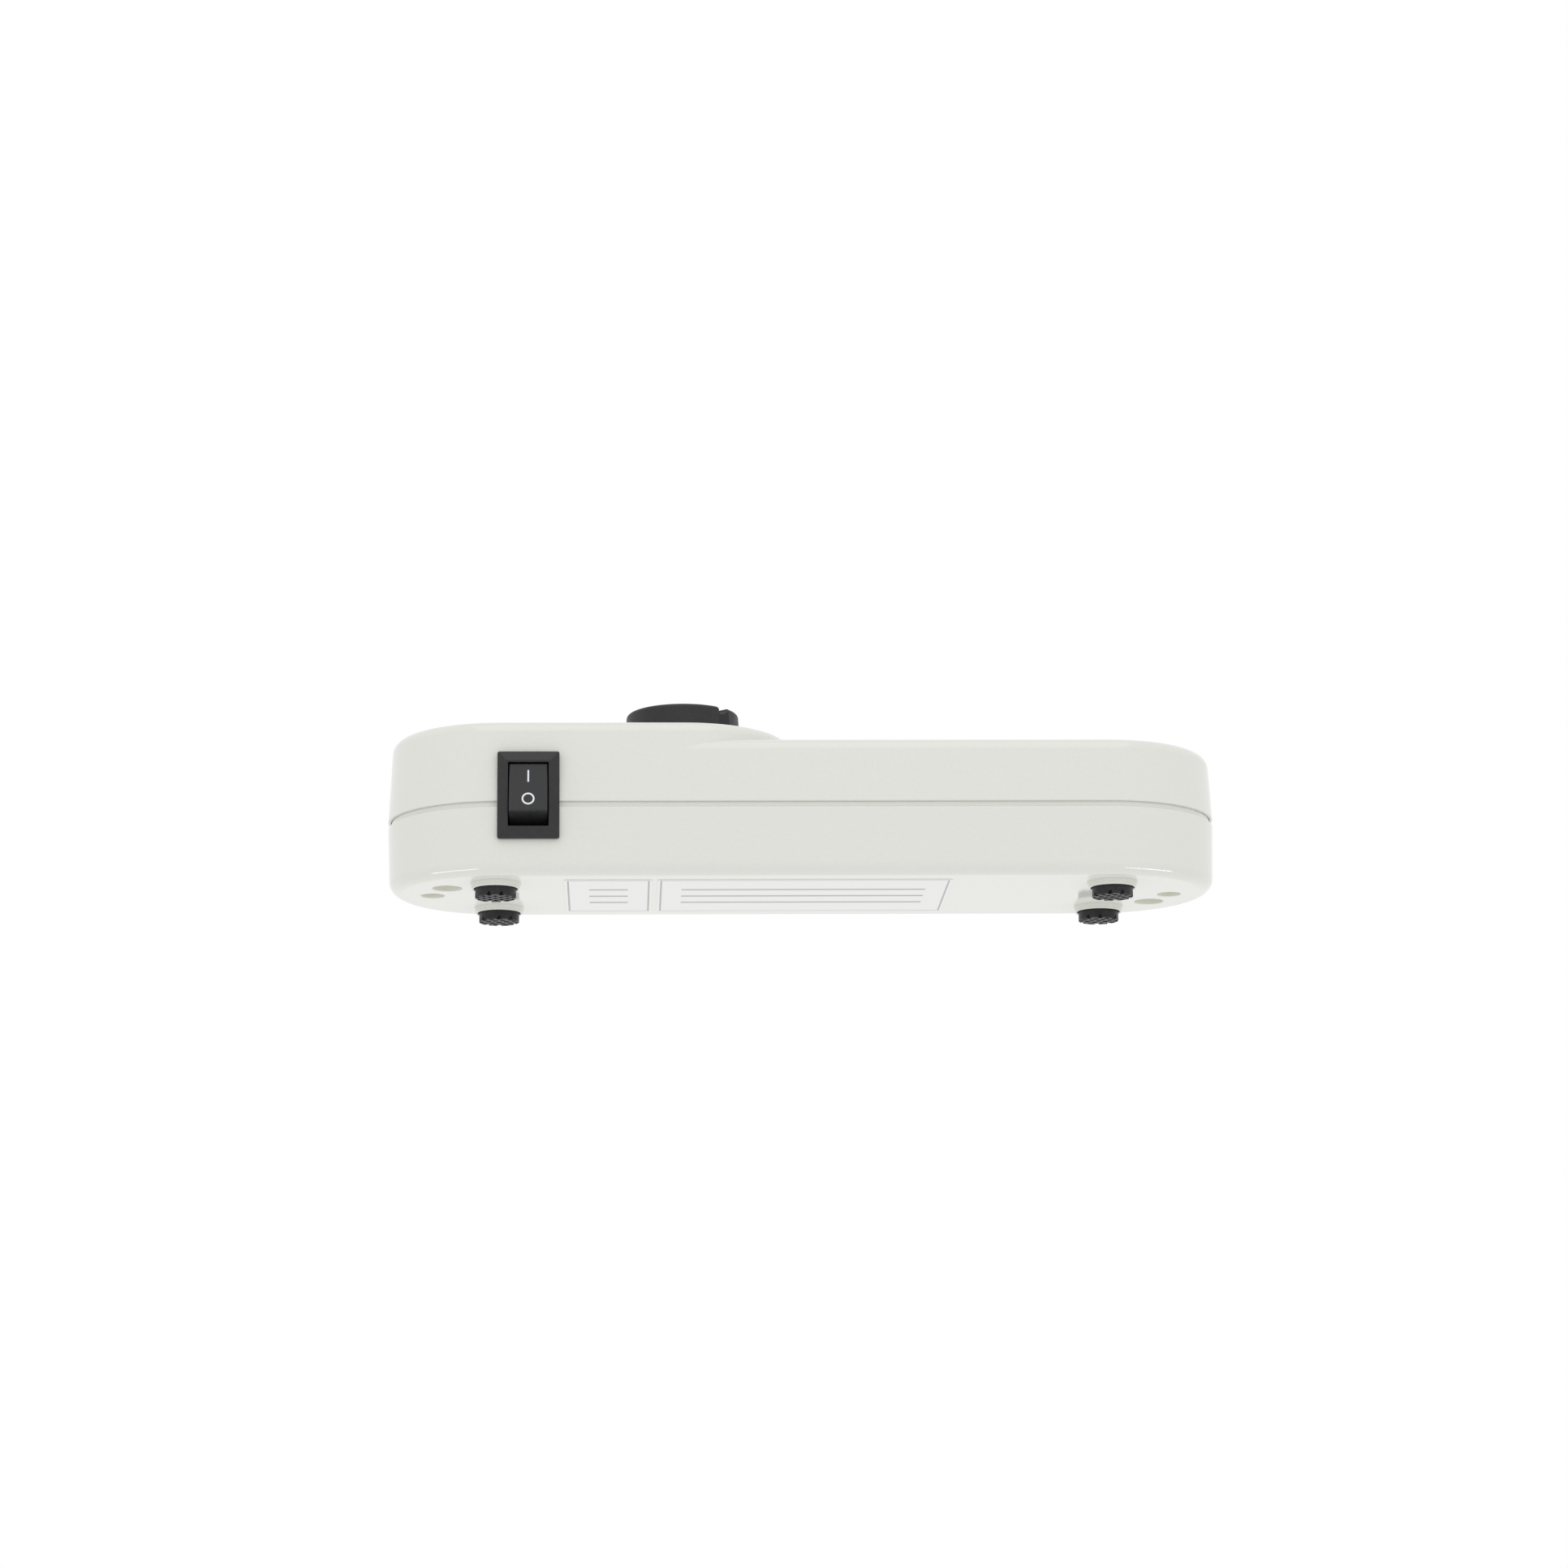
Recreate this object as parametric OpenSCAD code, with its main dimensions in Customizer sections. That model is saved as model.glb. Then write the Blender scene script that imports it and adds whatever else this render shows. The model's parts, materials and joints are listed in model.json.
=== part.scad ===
// TV signal amplifier: a two-shell case on rubber feet with a gain knob, a rocker switch,
// coaxial sockets and the board inside.
// Millimetres, +Z up, front towards -Y. Origin under the middle of the case, at the feet's resting plane.

/* [Case] */
// Length of the case along X at the parting groove
body_l = 205; // [190:1:230]
// Depth of the case along Y at the parting groove
body_d = 56; // [54:0.5:64]
// Wall thickness of both shells
wall = 2.2; // [2:0.1:2.6]
// Height of the lower shell, from its underside to its top edge
lower_h = 16.5; // [16.2:0.1:18]
// Height of the parting groove
groove_h = 1.35; // [0.8:0.05:1.8]
// Depth of the parting groove
groove_depth = 1; // [0.7:0.05:1.1]
// Height of the low deck above the upper shell's lower edge
low_deck_h = 15.95; // [15.5:0.05:20]
// Height of the raised deck above the low deck
step_h = 4.4; // [3.4:0.1:6]
// Length of the raised deck between the centres of its two round ends
raised_run = 45; // [42:0.5:52]
// Draft of the upper shell's walls in degrees
upper_draft = 3; // [1:0.25:4]
// Draft of the lower shell's walls in degrees
lower_draft = 1.7; // [0.5:0.1:2.5]
// Radius along the top edges
top_fillet = 3; // [2.8:0.1:4]
// Radius along the bottom edge
bottom_fillet = 3.2; // [2.8:0.1:4]
// Width that the raised deck's round end stands in from the front wall
raised_end_inset = 0.05; // [0.03:0.01:0.2]
// Clearance round the tongue that joins the shells
tongue_gap = 0.12; // [0.08:0.01:0.2]
// Height of the tongue above the groove
tongue_lap = 1.5; // [1:0.1:2]

/* [Feet] */
// Height of the lower shell's underside above the resting plane
stand_h = 3.7; // [3.2:0.1:5]
// Foot centre past the centre of the case's round end, along X
foot_out = 0.9; // [-2:0.1:2]
// Foot centre in from the case's long wall, along Y
foot_in = 12.4; // [11.4:0.1:14]
// Diameter of the rubber pad
pad_d = 10; // [8:0.1:11]
// Height of the rubber pad
pad_h = 4.2; // [3.8:0.1:5]
// Clearance round the pad in its recess
pad_gap = 0.35; // [0.2:0.05:0.6]
// Wall of the collar round the pad
collar_t = 0.55; // [0.4:0.05:1]
// Extra wall at the foot of the collar
collar_step = 0.25; // [0.1:0.05:0.4]
// Height that the collar's outer step takes
collar_step_h = 0.7; // [0.4:0.05:0.9]
// Height that the pad stands below the collar
pad_proud = 2.2; // [1.6:0.1:2.6]
// Spacing of the pad's diagonal ridges
ridge_pitch = 2; // [1.6:0.1:2.6]
// Width of a ridge on the pad
ridge_w = 0.7; // [0.4:0.05:1]
// Depth of the pits between the ridges
pit_depth = 0.9; // [0.5:0.05:1.2]

/* [Screws] */
// Case screw: distance past the centre of the round end, along X
case_screw_out = 12.9; // [12.5:0.1:14]
// Case screw: distance from the centre line, along Y
case_screw_y = 9.3; // [9.2:0.1:10]
// Case screw: well diameter
case_well_d = 7.3; // [7.2:0.1:7.6]
// Case screw: depth of the well
case_well_h = 6.3; // [5:0.1:7]
// Case screw: head diameter
case_head_d = 7; // [6:0.1:7.1]
// Case screw: head height
case_head_h = 2.6; // [2:0.1:3]
// Case screw: shank diameter
case_shank_d = 3.5; // [3:0.1:3.8]
// Case screw: shank length
case_shank_l = 16; // [12:0.5:18]
// End screw: distance past the centre of the round end, along X
end_screw_out = 16.85; // [16.5:0.1:17.5]
// End screw: well diameter
end_well_d = 5.9; // [5.8:0.1:6.2]
// End screw: depth of the well
end_well_h = 4.3; // [3:0.1:5]
// End screw: head diameter
end_head_d = 5.6; // [5:0.1:5.7]
// End screw: head height
end_head_h = 2.2; // [1.6:0.1:2.6]
// End screw: shank diameter
end_shank_d = 2.9; // [2.4:0.1:3.1]
// End screw: shank length
end_shank_l = 13; // [10:0.5:16]
// Width of the cross recess in a screw head
recess_w = 0.9; // [0.6:0.05:1.2]
// Wall of a screw tower and of a screw boss
tower_t = 1.8; // [1.5:0.1:2]
// Thickness of the floor that a screw head bears on
seat_t = 2.5; // [2:0.1:3]
// Clearance round a screw shank
shank_gap = 0.05; // [0.02:0.01:0.1]

/* [Labels] */
// Length of the rating label along X
rating_l = 72; // [60:1:80]
// Depth of the rating label along Y
rating_d = 40; // [30:1:44]
// Length of the batch label along X
batch_l = 21.5; // [16:0.5:24]
// Gap between the two labels
label_gap = 1.2; // [0.5:0.1:2]
// Thickness of a label
label_t = 0.15; // [0.1:0.01:0.25]

/* [Gain knob] */
// Diameter of the knob at its base
knob_d = 28.2; // [24:0.1:32]
// Height of the knob
knob_h = 7; // [6.4:0.1:9]
// Draft of the knob's side in degrees
knob_draft = 3.3; // [1:0.1:6]
// Radius round the knob's top edge
knob_fillet = 1; // [0.5:0.1:1.5]
// Gap under the knob
knob_gap = 0.5; // [0.4:0.05:1]
// Radius of the pointer scoop in the knob's top
scoop_r = 2.1; // [1.6:0.1:2.6]
// Depth of the pointer scoop
scoop_depth = 1.6; // [1:0.1:1.7]
// Length of the pointer scoop, from the rim inwards
scoop_l = 8; // [6:0.5:8.5]
// Depth of the flute down the knob's side
flute_depth = 1.4; // [0.8:0.1:1.8]
// Direction of the pointer at rest, in degrees from the front towards +X
pointer_angle = 47; // [40:1:60]
// Depth of the hollow under the knob
knob_hollow_h = 3.2; // [3:0.1:3.4]
// Diameter of the hollow under the knob
knob_hollow_d = 18; // [15:0.5:22]

/* [Potentiometer] */
// Diameter of the potentiometer's can
pot_d = 16.5; // [15.5:0.1:18]
// Height of the can
pot_can_h = 7; // [6:0.1:8]
// Thickness of the can's wall
pot_wall = 1.15; // [0.8:0.05:1.4]
// Thickness of the phenolic wafer that closes the can
pot_wafer_t = 1.5; // [1.2:0.1:2]
// Diameter of the threaded bush
bush_d = 7; // [6.8:0.1:7.6]
// Height of the bush above the can
bush_h = 5.3; // [5:0.1:5.6]
// Diameter of the shaft
shaft_d = 6; // [5.6:0.1:6.1]
// Radial clearance of the shaft in its bush
shaft_gap = 0.05; // [0.02:0.01:0.1]
// Length of shaft inside the knob's hub
shaft_grip = 2.2; // [1.6:0.1:2.6]
// Thickness of the washer under the nut
washer_t = 0.6; // [0.4:0.1:0.8]
// Diameter of the washer
washer_d = 12; // [11:0.1:13]
// Width of the nut across its flats
nut_af = 10; // [9:0.1:11]
// Height of the nut
nut_h = 2; // [1.6:0.1:2.2]
// Thickness of the wiper disc
wiper_t = 0.8; // [0.6:0.1:1]
// Spacing of the potentiometer's pins
pot_pin_pitch = 5; // [4:0.1:5.5]
// Length of the potentiometer's pins below the wafer
pot_pin_l = 4.2; // [3:0.1:5]
// Width of a potentiometer pin
pot_pin_w = 1.2; // [0.8:0.1:1.4]
// Distance of the potentiometer's pins from its can
pot_pin_out = 4.2; // [3:0.1:5]
// Thickness of a potentiometer pin
pot_pin_t = 0.5; // [0.4:0.05:0.8]

/* [Rocker switch] */
// Distance from the centre of the case's left round end to the switch
switch_in = 7.25; // [7:0.25:14]
// Height of the switch's centre above the resting plane
switch_z = 22.9; // [22.4:0.1:23.4]
// Width of the bezel
bezel_w = 15; // [14.6:0.1:16]
// Height of the bezel
bezel_h = 21.5; // [21:0.1:23]
// Thickness of the bezel at its outer edge
bezel_edge = 0.9; // [0.6:0.05:1.2]
// Height of the bezel's inner edge above the wall
bezel_proud = 2; // [1.6:0.1:2.1]
// Gap between the bezel and the case's wall
bezel_gap = 0.05; // [0.02:0.01:0.2]
// Width of the switch's housing behind the wall
housing_w = 12.8; // [12.6:0.1:13]
// Height of the switch's housing behind the wall
housing_h = 19; // [18.6:0.1:19.4]
// Depth of the switch's housing behind the wall
housing_depth = 17; // [16.6:0.1:19]
// Clearance of the housing in the wall's cut-out
housing_gap = 0.1; // [0.05:0.05:0.3]
// Width of the bezel's opening
opening_w = 9.8; // [9.6:0.1:10.2]
// Height of the bezel's opening
opening_h = 15.8; // [15.7:0.1:16.4]
// Width of the rocker
rocker_w = 9.3; // [8.8:0.1:9.4]
// Length of the rocker's face
rocker_face = 12.4; // [11.6:0.1:12.6]
// Length of the rocker at its widest
rocker_reach = 15; // [14:0.1:15.2]
// Depth of the rocker's pivot behind the case's front wall
pivot_depth = 4.55; // [4.3:0.05:4.6]
// Distance from the pivot to the rocker's face
face_out = 7.5; // [7.2:0.05:7.6]
// Distance from the pivot to the rocker's lower edge
skirt_out = 0.8; // [0.6:0.1:1.5]
// Tilt of the rocker to each side, in degrees
rocker_tilt = 12; // [8:0.5:12]
// Diameter of the rocker's trunnions
trunnion_d = 3; // [2.4:0.1:3.4]
// Radial clearance of the trunnions in the housing
trunnion_gap = 0.05; // [0.02:0.01:0.1]
// Length of a trunnion
trunnion_l = 1.2; // [0.8:0.1:1.4]
// Distance of the marks from the middle of the rocker's face
mark_out = 2.95; // [2.6:0.05:3.4]
// Length of the bar mark
bar_l = 3.2; // [2.4:0.1:3.6]
// Stroke width of the marks
stroke = 0.45; // [0.3:0.05:0.6]
// Diameter of the ring mark
ring_d = 3; // [2.4:0.1:3.4]
// Thickness of the print
print_t = 0.08; // [0.05:0.01:0.12]
// Diameter of the switch's plunger
plunger_d = 2.4; // [2:0.1:2.6]
// Distance from the pivot to the plunger's tip
plunger_reach = 7.6; // [7.4:0.05:7.7]
// Diameter of the spring's wire
spring_wire = 0.3; // [0.2:0.05:0.35]
// Number of turns of the spring
spring_turns = 3; // [2:1:3]
// Tilt of the contact lever to each side, in degrees
lever_tilt = 6; // [4:0.5:6]
// Length of the contact lever
lever_l = 12; // [11.4:0.1:12.6]
// Width of the contact lever
lever_w = 4; // [3:0.1:4.6]
// Thickness of the contact lever
lever_t = 0.6; // [0.4:0.05:0.7]
// Distance from the lever's pivot to a contact
contact_out = 5.2; // [5:0.1:5.4]
// Width of a switch terminal
tab_w = 4.8; // [4:0.1:5]
// Thickness of a switch terminal
tab_t = 0.8; // [0.5:0.05:1]
// Length of a switch terminal behind the housing
tab_l = 6.5; // [5:0.1:8]

/* [Board] */
// Distance from the switch's centre to the board's left edge
board_from_switch = 17; // [15:0.5:20]
// Distance of the board's right edge past the centre of the right round end
board_past_end = 4.5; // [2:0.5:5.5]
// Gap between the board's front edge and the case's front wall, outside
board_front = 7; // [5:0.5:9]
// Gap between the board's rear edge and the case's rear wall, outside
board_rear = 3.6; // [3.4:0.1:5]
// Thickness of the board
board_t = 1.6; // [1:0.1:2]
// Height of the board's underside above the lower shell's underside
board_up = 7.3; // [6:0.1:7.5]
// Distance of the board's screws from its edges
board_screw_in = 4; // [3.5:0.1:5]
// Diameter of a board screw's head
board_head_d = 5; // [4:0.1:5.4]
// Height of a board screw's head
board_head_h = 1.9; // [1.4:0.1:2.4]
// Diameter of a board screw's shank
board_shank_d = 2.6; // [2:0.1:3]
// Length of a board screw's shank
board_shank_l = 5; // [4:0.1:5.4]
// Length of the screening can along X
can_l = 62; // [50:1:64]
// Depth of the screening can along Y
can_d = 24; // [18:0.5:25]
// Height of the screening can
can_h = 8.4; // [6:0.1:9]
// Sheet thickness of the screening can
can_t = 0.5; // [0.4:0.05:0.8]
// Clearance between the can's lid and its fence
lid_gap = 0.1; // [0.05:0.05:0.2]
// Depth of the lid's skirt
lid_skirt = 3; // [2:0.1:4]
// Diameter of a hook-up wire
wire_d = 1.4; // [1:0.1:1.6]
// Distance of the switch wires' pads from the board's left edge
wire_pad_in = 3; // [2:0.1:4]
// Height of the switch wires' last bend above the board
wire_drop = 4; // [3:0.1:6]
// Length of a switch wire's straight start behind its terminal
wire_start = 3; // [2:0.1:4]
// Spacing of the two switch wires
wire_pitch = 2; // [1.8:0.1:3]
// Distance of the regulator from the power socket
regulator_in = 12; // [11:0.5:14]
// Gap between the power socket's back and the capacitors' row
capacitor_back = 8; // [6:0.5:9]

/* [Sockets] */
// Distance from the centre of the right round end to the nearest coaxial socket
socket_in = 10.5; // [9:0.5:12]
// Spacing of the coaxial sockets
socket_pitch = 22; // [18:0.5:22]
// Outer diameter of a coaxial socket's barrel
barrel_d = 12; // [11.6:0.1:13]
// Bore of a coaxial socket
socket_bore_d = 9.6; // [9.5:0.05:9.8]
// Length of the barrel outside the rear wall
barrel_out = 4.08; // [3.6:0.02:4.6]
// Depth of the bore in front of the insulator
socket_depth = 10.5; // [9:0.1:12]
// Thickness of the insulator
insulator_t = 2.5; // [2:0.1:3]
// Clearance of the barrels and the inlet in the rear wall
rear_gap = 0.2; // [0.1:0.05:0.4]
// Width of a socket's block on the board
block_w = 14; // [13:0.5:16]
// Depth of a socket's block
block_d = 12.2; // [11.8:0.1:13]
// Distance of a socket's block from the rear wall, outside
block_rear = 2.8; // [2.7:0.05:3]
// Height of a socket's block
block_h = 15; // [14.6:0.1:16]
// Outer diameter of the centre contact
contact_d = 3.6; // [3.2:0.1:4]
// Bore of the centre contact
contact_bore_d = 2.4; // [2.3:0.05:2.6]
// Distance of the centre contact from the barrel's mouth
contact_in = 1.6; // [1:0.1:3]
// Clearance between the contact, the insulator and the barrel
insulator_gap = 0.05; // [0.02:0.01:0.1]
// Distance from the last coaxial socket to the power socket
inlet_from_socket = 30; // [20:0.5:34]
// Width of the power socket
inlet_w = 9; // [8.6:0.1:10]
// Height of the power socket
inlet_h = 11; // [10.6:0.1:11.4]
// Length of the power socket
inlet_l = 14; // [13:0.1:16]
// Bore of the power socket
inlet_bore_d = 6.3; // [5.8:0.1:6.4]
// Depth of the power socket's bore
inlet_depth = 10; // [9:0.1:11]
// Height of the power socket's bore above the board
inlet_bore_z = 6.3; // [6:0.1:6.6]
// Diameter of the power socket's pin
inlet_pin_d = 2; // [1.8:0.05:2.5]
// Distance of the pin from the socket's mouth
inlet_pin_in = 1; // [0.5:0.1:2]

/* [Hidden] */
$fn = 96;
// Overlap where two volumes of one solid meet
join = 0.4;
// Length by which a cut runs past a face
past = 1;

// Case levels and centres
body_r = body_d / 2;
end_x = body_l / 2 - body_r;
lower_top_z = stand_h + lower_h;
upper_z = lower_top_z + groove_h;
low_deck_z = upper_z + low_deck_h;
raised_deck_h = low_deck_h + step_h;
deck_z = upper_z + raised_deck_h;
raised_x = -end_x + raised_run;
floor_z = stand_h + wall;
parting_z = lower_top_z + groove_h / 2;

// Feet
collar_z = pad_proud;
recess_d = pad_d + 2 * pad_gap;
collar_d = recess_d + 2 * collar_t;
foot_x = end_x + foot_out;
foot_y = body_r - foot_in;
FEET = [[-foot_x, -foot_y], [foot_x, -foot_y], [-foot_x, foot_y], [foot_x, foot_y]];

// Screws
case_seat_z = stand_h + case_well_h;
end_seat_z = stand_h + end_well_h;
CASE_SCREWS = [[-end_x - case_screw_out, -case_screw_y], [end_x + case_screw_out, case_screw_y]];
END_SCREWS = [[-end_x - end_screw_out, 0], [end_x + end_screw_out, 0]];

// Switch
switch_x = -end_x + switch_in;
pivot_y = -body_r + pivot_depth;
bezel_back_y = -body_r - bezel_gap;
housing_back_y = -body_r + housing_depth;
housing_floor_t = 1.5;
inner_floor_y = housing_back_y - housing_floor_t;
cutout_w = housing_w + 2 * housing_gap;
cutout_h = housing_h + 2 * housing_gap;
snap_out = 0.6;
snap_l = 2.4;
hub_d = trunnion_d + 2;
stem_d = plunger_d + 1.8;
stem_reach = plunger_reach - 2.6;
plunger_gap = 0.05;
spring_l = 2.4;
spring_start = 0.7;
bead_d = 1.6;
bead_gap = 0.05;
lever_rise = 1;
lever_pivot_y = inner_floor_y - 1.7;
button_d = 2.2;
button_t = 0.5;
contact_gap = 0.3;
lever_back = lever_rise - lever_t / 2 - button_t;
fixed_top_y = lever_pivot_y - lever_back * cos(lever_tilt) + contact_out * sin(lever_tilt) + contact_gap;
tab_slot_gap = 0.05;
tab_slot_w = tab_w + 2 * tab_slot_gap;
tab_slot_h = tab_t + 2 * tab_slot_gap;
TAB_Z = [switch_z, switch_z - contact_out];
saddle_h = 3.2;

// Potentiometer
knob_z = deck_z + knob_gap;
hollow_top_z = knob_z + knob_hollow_h;
pot_top_z = deck_z - wall;
wafer_top_z = pot_top_z - pot_can_h;
wafer_z = wafer_top_z - pot_wafer_t;
shaft_bore_d = shaft_d + 2 * shaft_gap;
cavity_d = pot_d - 2 * pot_wall;
cavity_h = pot_can_h - pot_wall;
wiper_z = wafer_top_z + 0.4;
wiper_d = cavity_d - 1.6;
finger_d = 1.4;
finger_gap = 0.1;
shaft_z = wiper_z + wiper_t;
shaft_top_z = hollow_top_z + shaft_grip;
hub_bore_gap = 0.05;
hub_bore_end = 0.2;
thread_gap = 0.05;
washer_gap = 0.1;
pot_pin_y = -pot_d / 2 - pot_pin_out;
tongue_margin = 1.6;

// Board and what stands on it
board_z = stand_h + board_up;
board_top_z = board_z + board_t;
board_x0 = switch_x + board_from_switch;
board_x1 = end_x + board_past_end;
board_y0 = -body_r + board_front;
board_y1 = body_r - board_rear;
BOARD_SCREWS = [for (x = [board_x0 + board_screw_in, board_x1 - board_screw_in],
                     y = [board_y0 + board_screw_in, board_y1 - board_screw_in]) [x, y]];
stand_d = board_shank_d + 3.4;
socket_z = parting_z;
barrel_end_y = body_r + barrel_out;
block_y1 = body_r - block_rear;
block_y0 = block_y1 - block_d;
insulator_y1 = barrel_end_y - socket_depth;
insulator_y0 = insulator_y1 - insulator_t;
block_back_d = contact_d + 2.4;
contact_tail = 3;
SOCKET_X = [for (i = [0:2]) end_x - socket_in - i * socket_pitch];
inlet_x = SOCKET_X[2] - inlet_from_socket;
inlet_face_y = body_r;
inlet_y0 = inlet_face_y - inlet_l;
inlet_axis_z = board_top_z + inlet_bore_z;
inlet_pin_root = 2;
inlet_pin_gap = 0.03;
can_gap = 2;
can_x = (SOCKET_X[0] + SOCKET_X[2]) / 2;
can_y1 = block_y0 - can_gap;
can_y0 = can_y1 - can_d;
can_top_z = board_top_z + can_h;
CHIP = [10, 4, 1.6];
CORE = [7, 5, 3.6];
core_hole_d = 1.8;
core_hole_out = 1.7;
CAPACITORS = [[8, 11.5, 9], [6.3, 11, 19]];
regulator_back = 8;
REGULATOR = [10, 4.6, 9];
TAB_PLATE = [10, 1.3, 15.4];
regulator_hole_d = 3.6;
regulator_x = inlet_x - regulator_in;
lead_gap = 0.1;

// Materials, as the photograph shows them
SHELL = "#e4e5df";
DARK = "#48484a";
BLACK = "#2c2c2e";
RUBBER = "#3a3a3c";
PAPER = "#f2f2ee";
STEEL = "#b8bab8";
BRASS = "#c2a25a";
NICKEL = "#c9c9c6";
PRINT = "#ededea";
BOARD = "#2f6b46";
PHENOLIC = "#7a4d2a";

// Half section of a drafted wall with a rounded upper edge, from its foot at (radius, 0) to the deck
module wall_section(radius, height, fillet, draft) {
    centre_h = height - fillet;
    centre_r = radius - (fillet + centre_h * sin(draft)) / cos(draft);
    union() {
        polygon([[0, 0], [radius, 0], [centre_r + fillet * cos(draft), centre_h + fillet * sin(draft)],
                 [centre_r, height], [0, height]]);
        translate([centre_r, centre_h]) circle(fillet);
    }
}

// Half of a round end: side is 1 for the right end, -1 for the left one
module round_end(x, side) {
    translate([x, 0, 0])
        rotate([0, 0, side > 0 ? -90 : 90])
            rotate_extrude(angle = 180)
                children();
}

module straight_run(x0, x1) {
    translate([x0, 0, 0])
        rotate([90, 0, 90])
            linear_extrude(x1 - x0)
                union() {
                    children();
                    mirror([1, 0]) children();
                }
}

// Solid with a stadium plan and a rounded upper edge
module stadium_body(radius, height, fillet, draft) {
    union() {
        round_end(-end_x, -1) wall_section(radius, height, fillet, draft);
        straight_run(-end_x, end_x) wall_section(radius, height, fillet, draft);
        round_end(end_x, 1) wall_section(radius, height, fillet, draft);
    }
}

// Solid of the upper shell's form: raised deck on the left with a round end, low deck on the right
module two_deck_body(radius, low_h, high_h, fillet) {
    union() {
        round_end(-end_x, -1) wall_section(radius, high_h, fillet, upper_draft);
        straight_run(-end_x, raised_x) wall_section(radius, high_h, fillet, upper_draft);
        straight_run(raised_x, end_x) wall_section(radius, low_h, fillet, upper_draft);
        round_end(end_x, 1) wall_section(radius, low_h, fillet, upper_draft);
        round_end(raised_x, 1) wall_section(radius - raised_end_inset, high_h, fillet, upper_draft);
    }
}

// Flat stadium plan with the case's end centres
module stadium_plan(radius) {
    union() {
        translate([-end_x, 0]) circle(radius);
        translate([end_x, 0]) circle(radius);
        translate([-end_x, -radius]) square([2 * end_x, 2 * radius]);
    }
}

// Cylinder along Y from y0 to y1
module along_y(x, z, d, y0, y1) {
    translate([x, y0, z])
        rotate([-90, 0, 0])
            cylinder(d = d, h = y1 - y0);
}

// Cylinder along X, centred at x
module along_x(x, y, z, d, length) {
    translate([x - length / 2, y, z])
        rotate([0, 90, 0])
            cylinder(d = d, h = length);
}

// Openings through the case's walls: switch in front, sockets behind
module wall_openings() {
    depth = 2 * wall + 2 * past;
    translate([switch_x - cutout_w / 2, -body_r - past, switch_z - cutout_h / 2])
        cube([cutout_w, depth, cutout_h]);
    for (x = SOCKET_X)
        along_y(x, socket_z, barrel_d + 2 * rear_gap, body_r - wall - past - groove_depth, body_r + past);
    translate([inlet_x - inlet_w / 2 - rear_gap, body_r - depth + past, board_top_z - rear_gap])
        cube([inlet_w + 2 * rear_gap, depth, inlet_h + 2 * rear_gap]);
}

module screw_boss(place, d, z) {
    translate([place[0], place[1], z])
        cylinder(d = d + 2 * tower_t, h = low_deck_z - wall + join - z);
}

module upper_shell() {
    color(SHELL)
    difference() {
        union() {
            difference() {
                translate([0, 0, upper_z])
                    two_deck_body(body_r, low_deck_h, raised_deck_h, top_fillet);
                translate([0, 0, upper_z])
                    two_deck_body(body_r - wall, low_deck_h - wall, raised_deck_h - wall, top_fillet - wall);
                translate([0, 0, upper_z - past])
                    linear_extrude(past + tongue_lap + tongue_gap)
                        stadium_plan(body_r - groove_depth + tongue_gap);
                wall_openings();
                translate([raised_x, 0, pot_top_z - past])
                    cylinder(d = bush_d + 2 * washer_gap, h = wall + 2 * past);
            }
            for (p = CASE_SCREWS) screw_boss(p, case_shank_d, case_seat_z + seat_t);
            for (p = END_SCREWS) screw_boss(p, end_shank_d, end_seat_z + seat_t);
            screw_boss_necks();
        }
        for (p = CASE_SCREWS)
            translate([p[0], p[1], case_seat_z])
                cylinder(d = case_shank_d + 2 * shank_gap, h = case_shank_l + past);
        for (p = END_SCREWS)
            translate([p[0], p[1], end_seat_z])
                cylinder(d = end_shank_d + 2 * shank_gap, h = end_shank_l + past);
    }
}

// Upper ends of the left bosses, under the raised deck
module screw_boss_necks() {
    translate([CASE_SCREWS[0][0], CASE_SCREWS[0][1], low_deck_z - wall])
        cylinder(d = case_shank_d + 2 * tower_t, h = step_h + join);
    translate([END_SCREWS[0][0], END_SCREWS[0][1], low_deck_z - wall])
        cylinder(d = end_shank_d + 2 * tower_t, h = step_h + join);
}

module screw_tower(place, d, seat) {
    translate([place[0], place[1], floor_z - join])
        cylinder(d = d + 2 * tower_t, h = seat + seat_t - floor_z + join);
}

module screw_well(place, well_d, shank_d, seat) {
    translate([place[0], place[1], stand_h - past])
        cylinder(d = well_d, h = seat - stand_h + past);
    translate([place[0], place[1], seat - past])
        cylinder(d = shank_d + 2 * shank_gap, h = seat_t + 2 * past);
}

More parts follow.
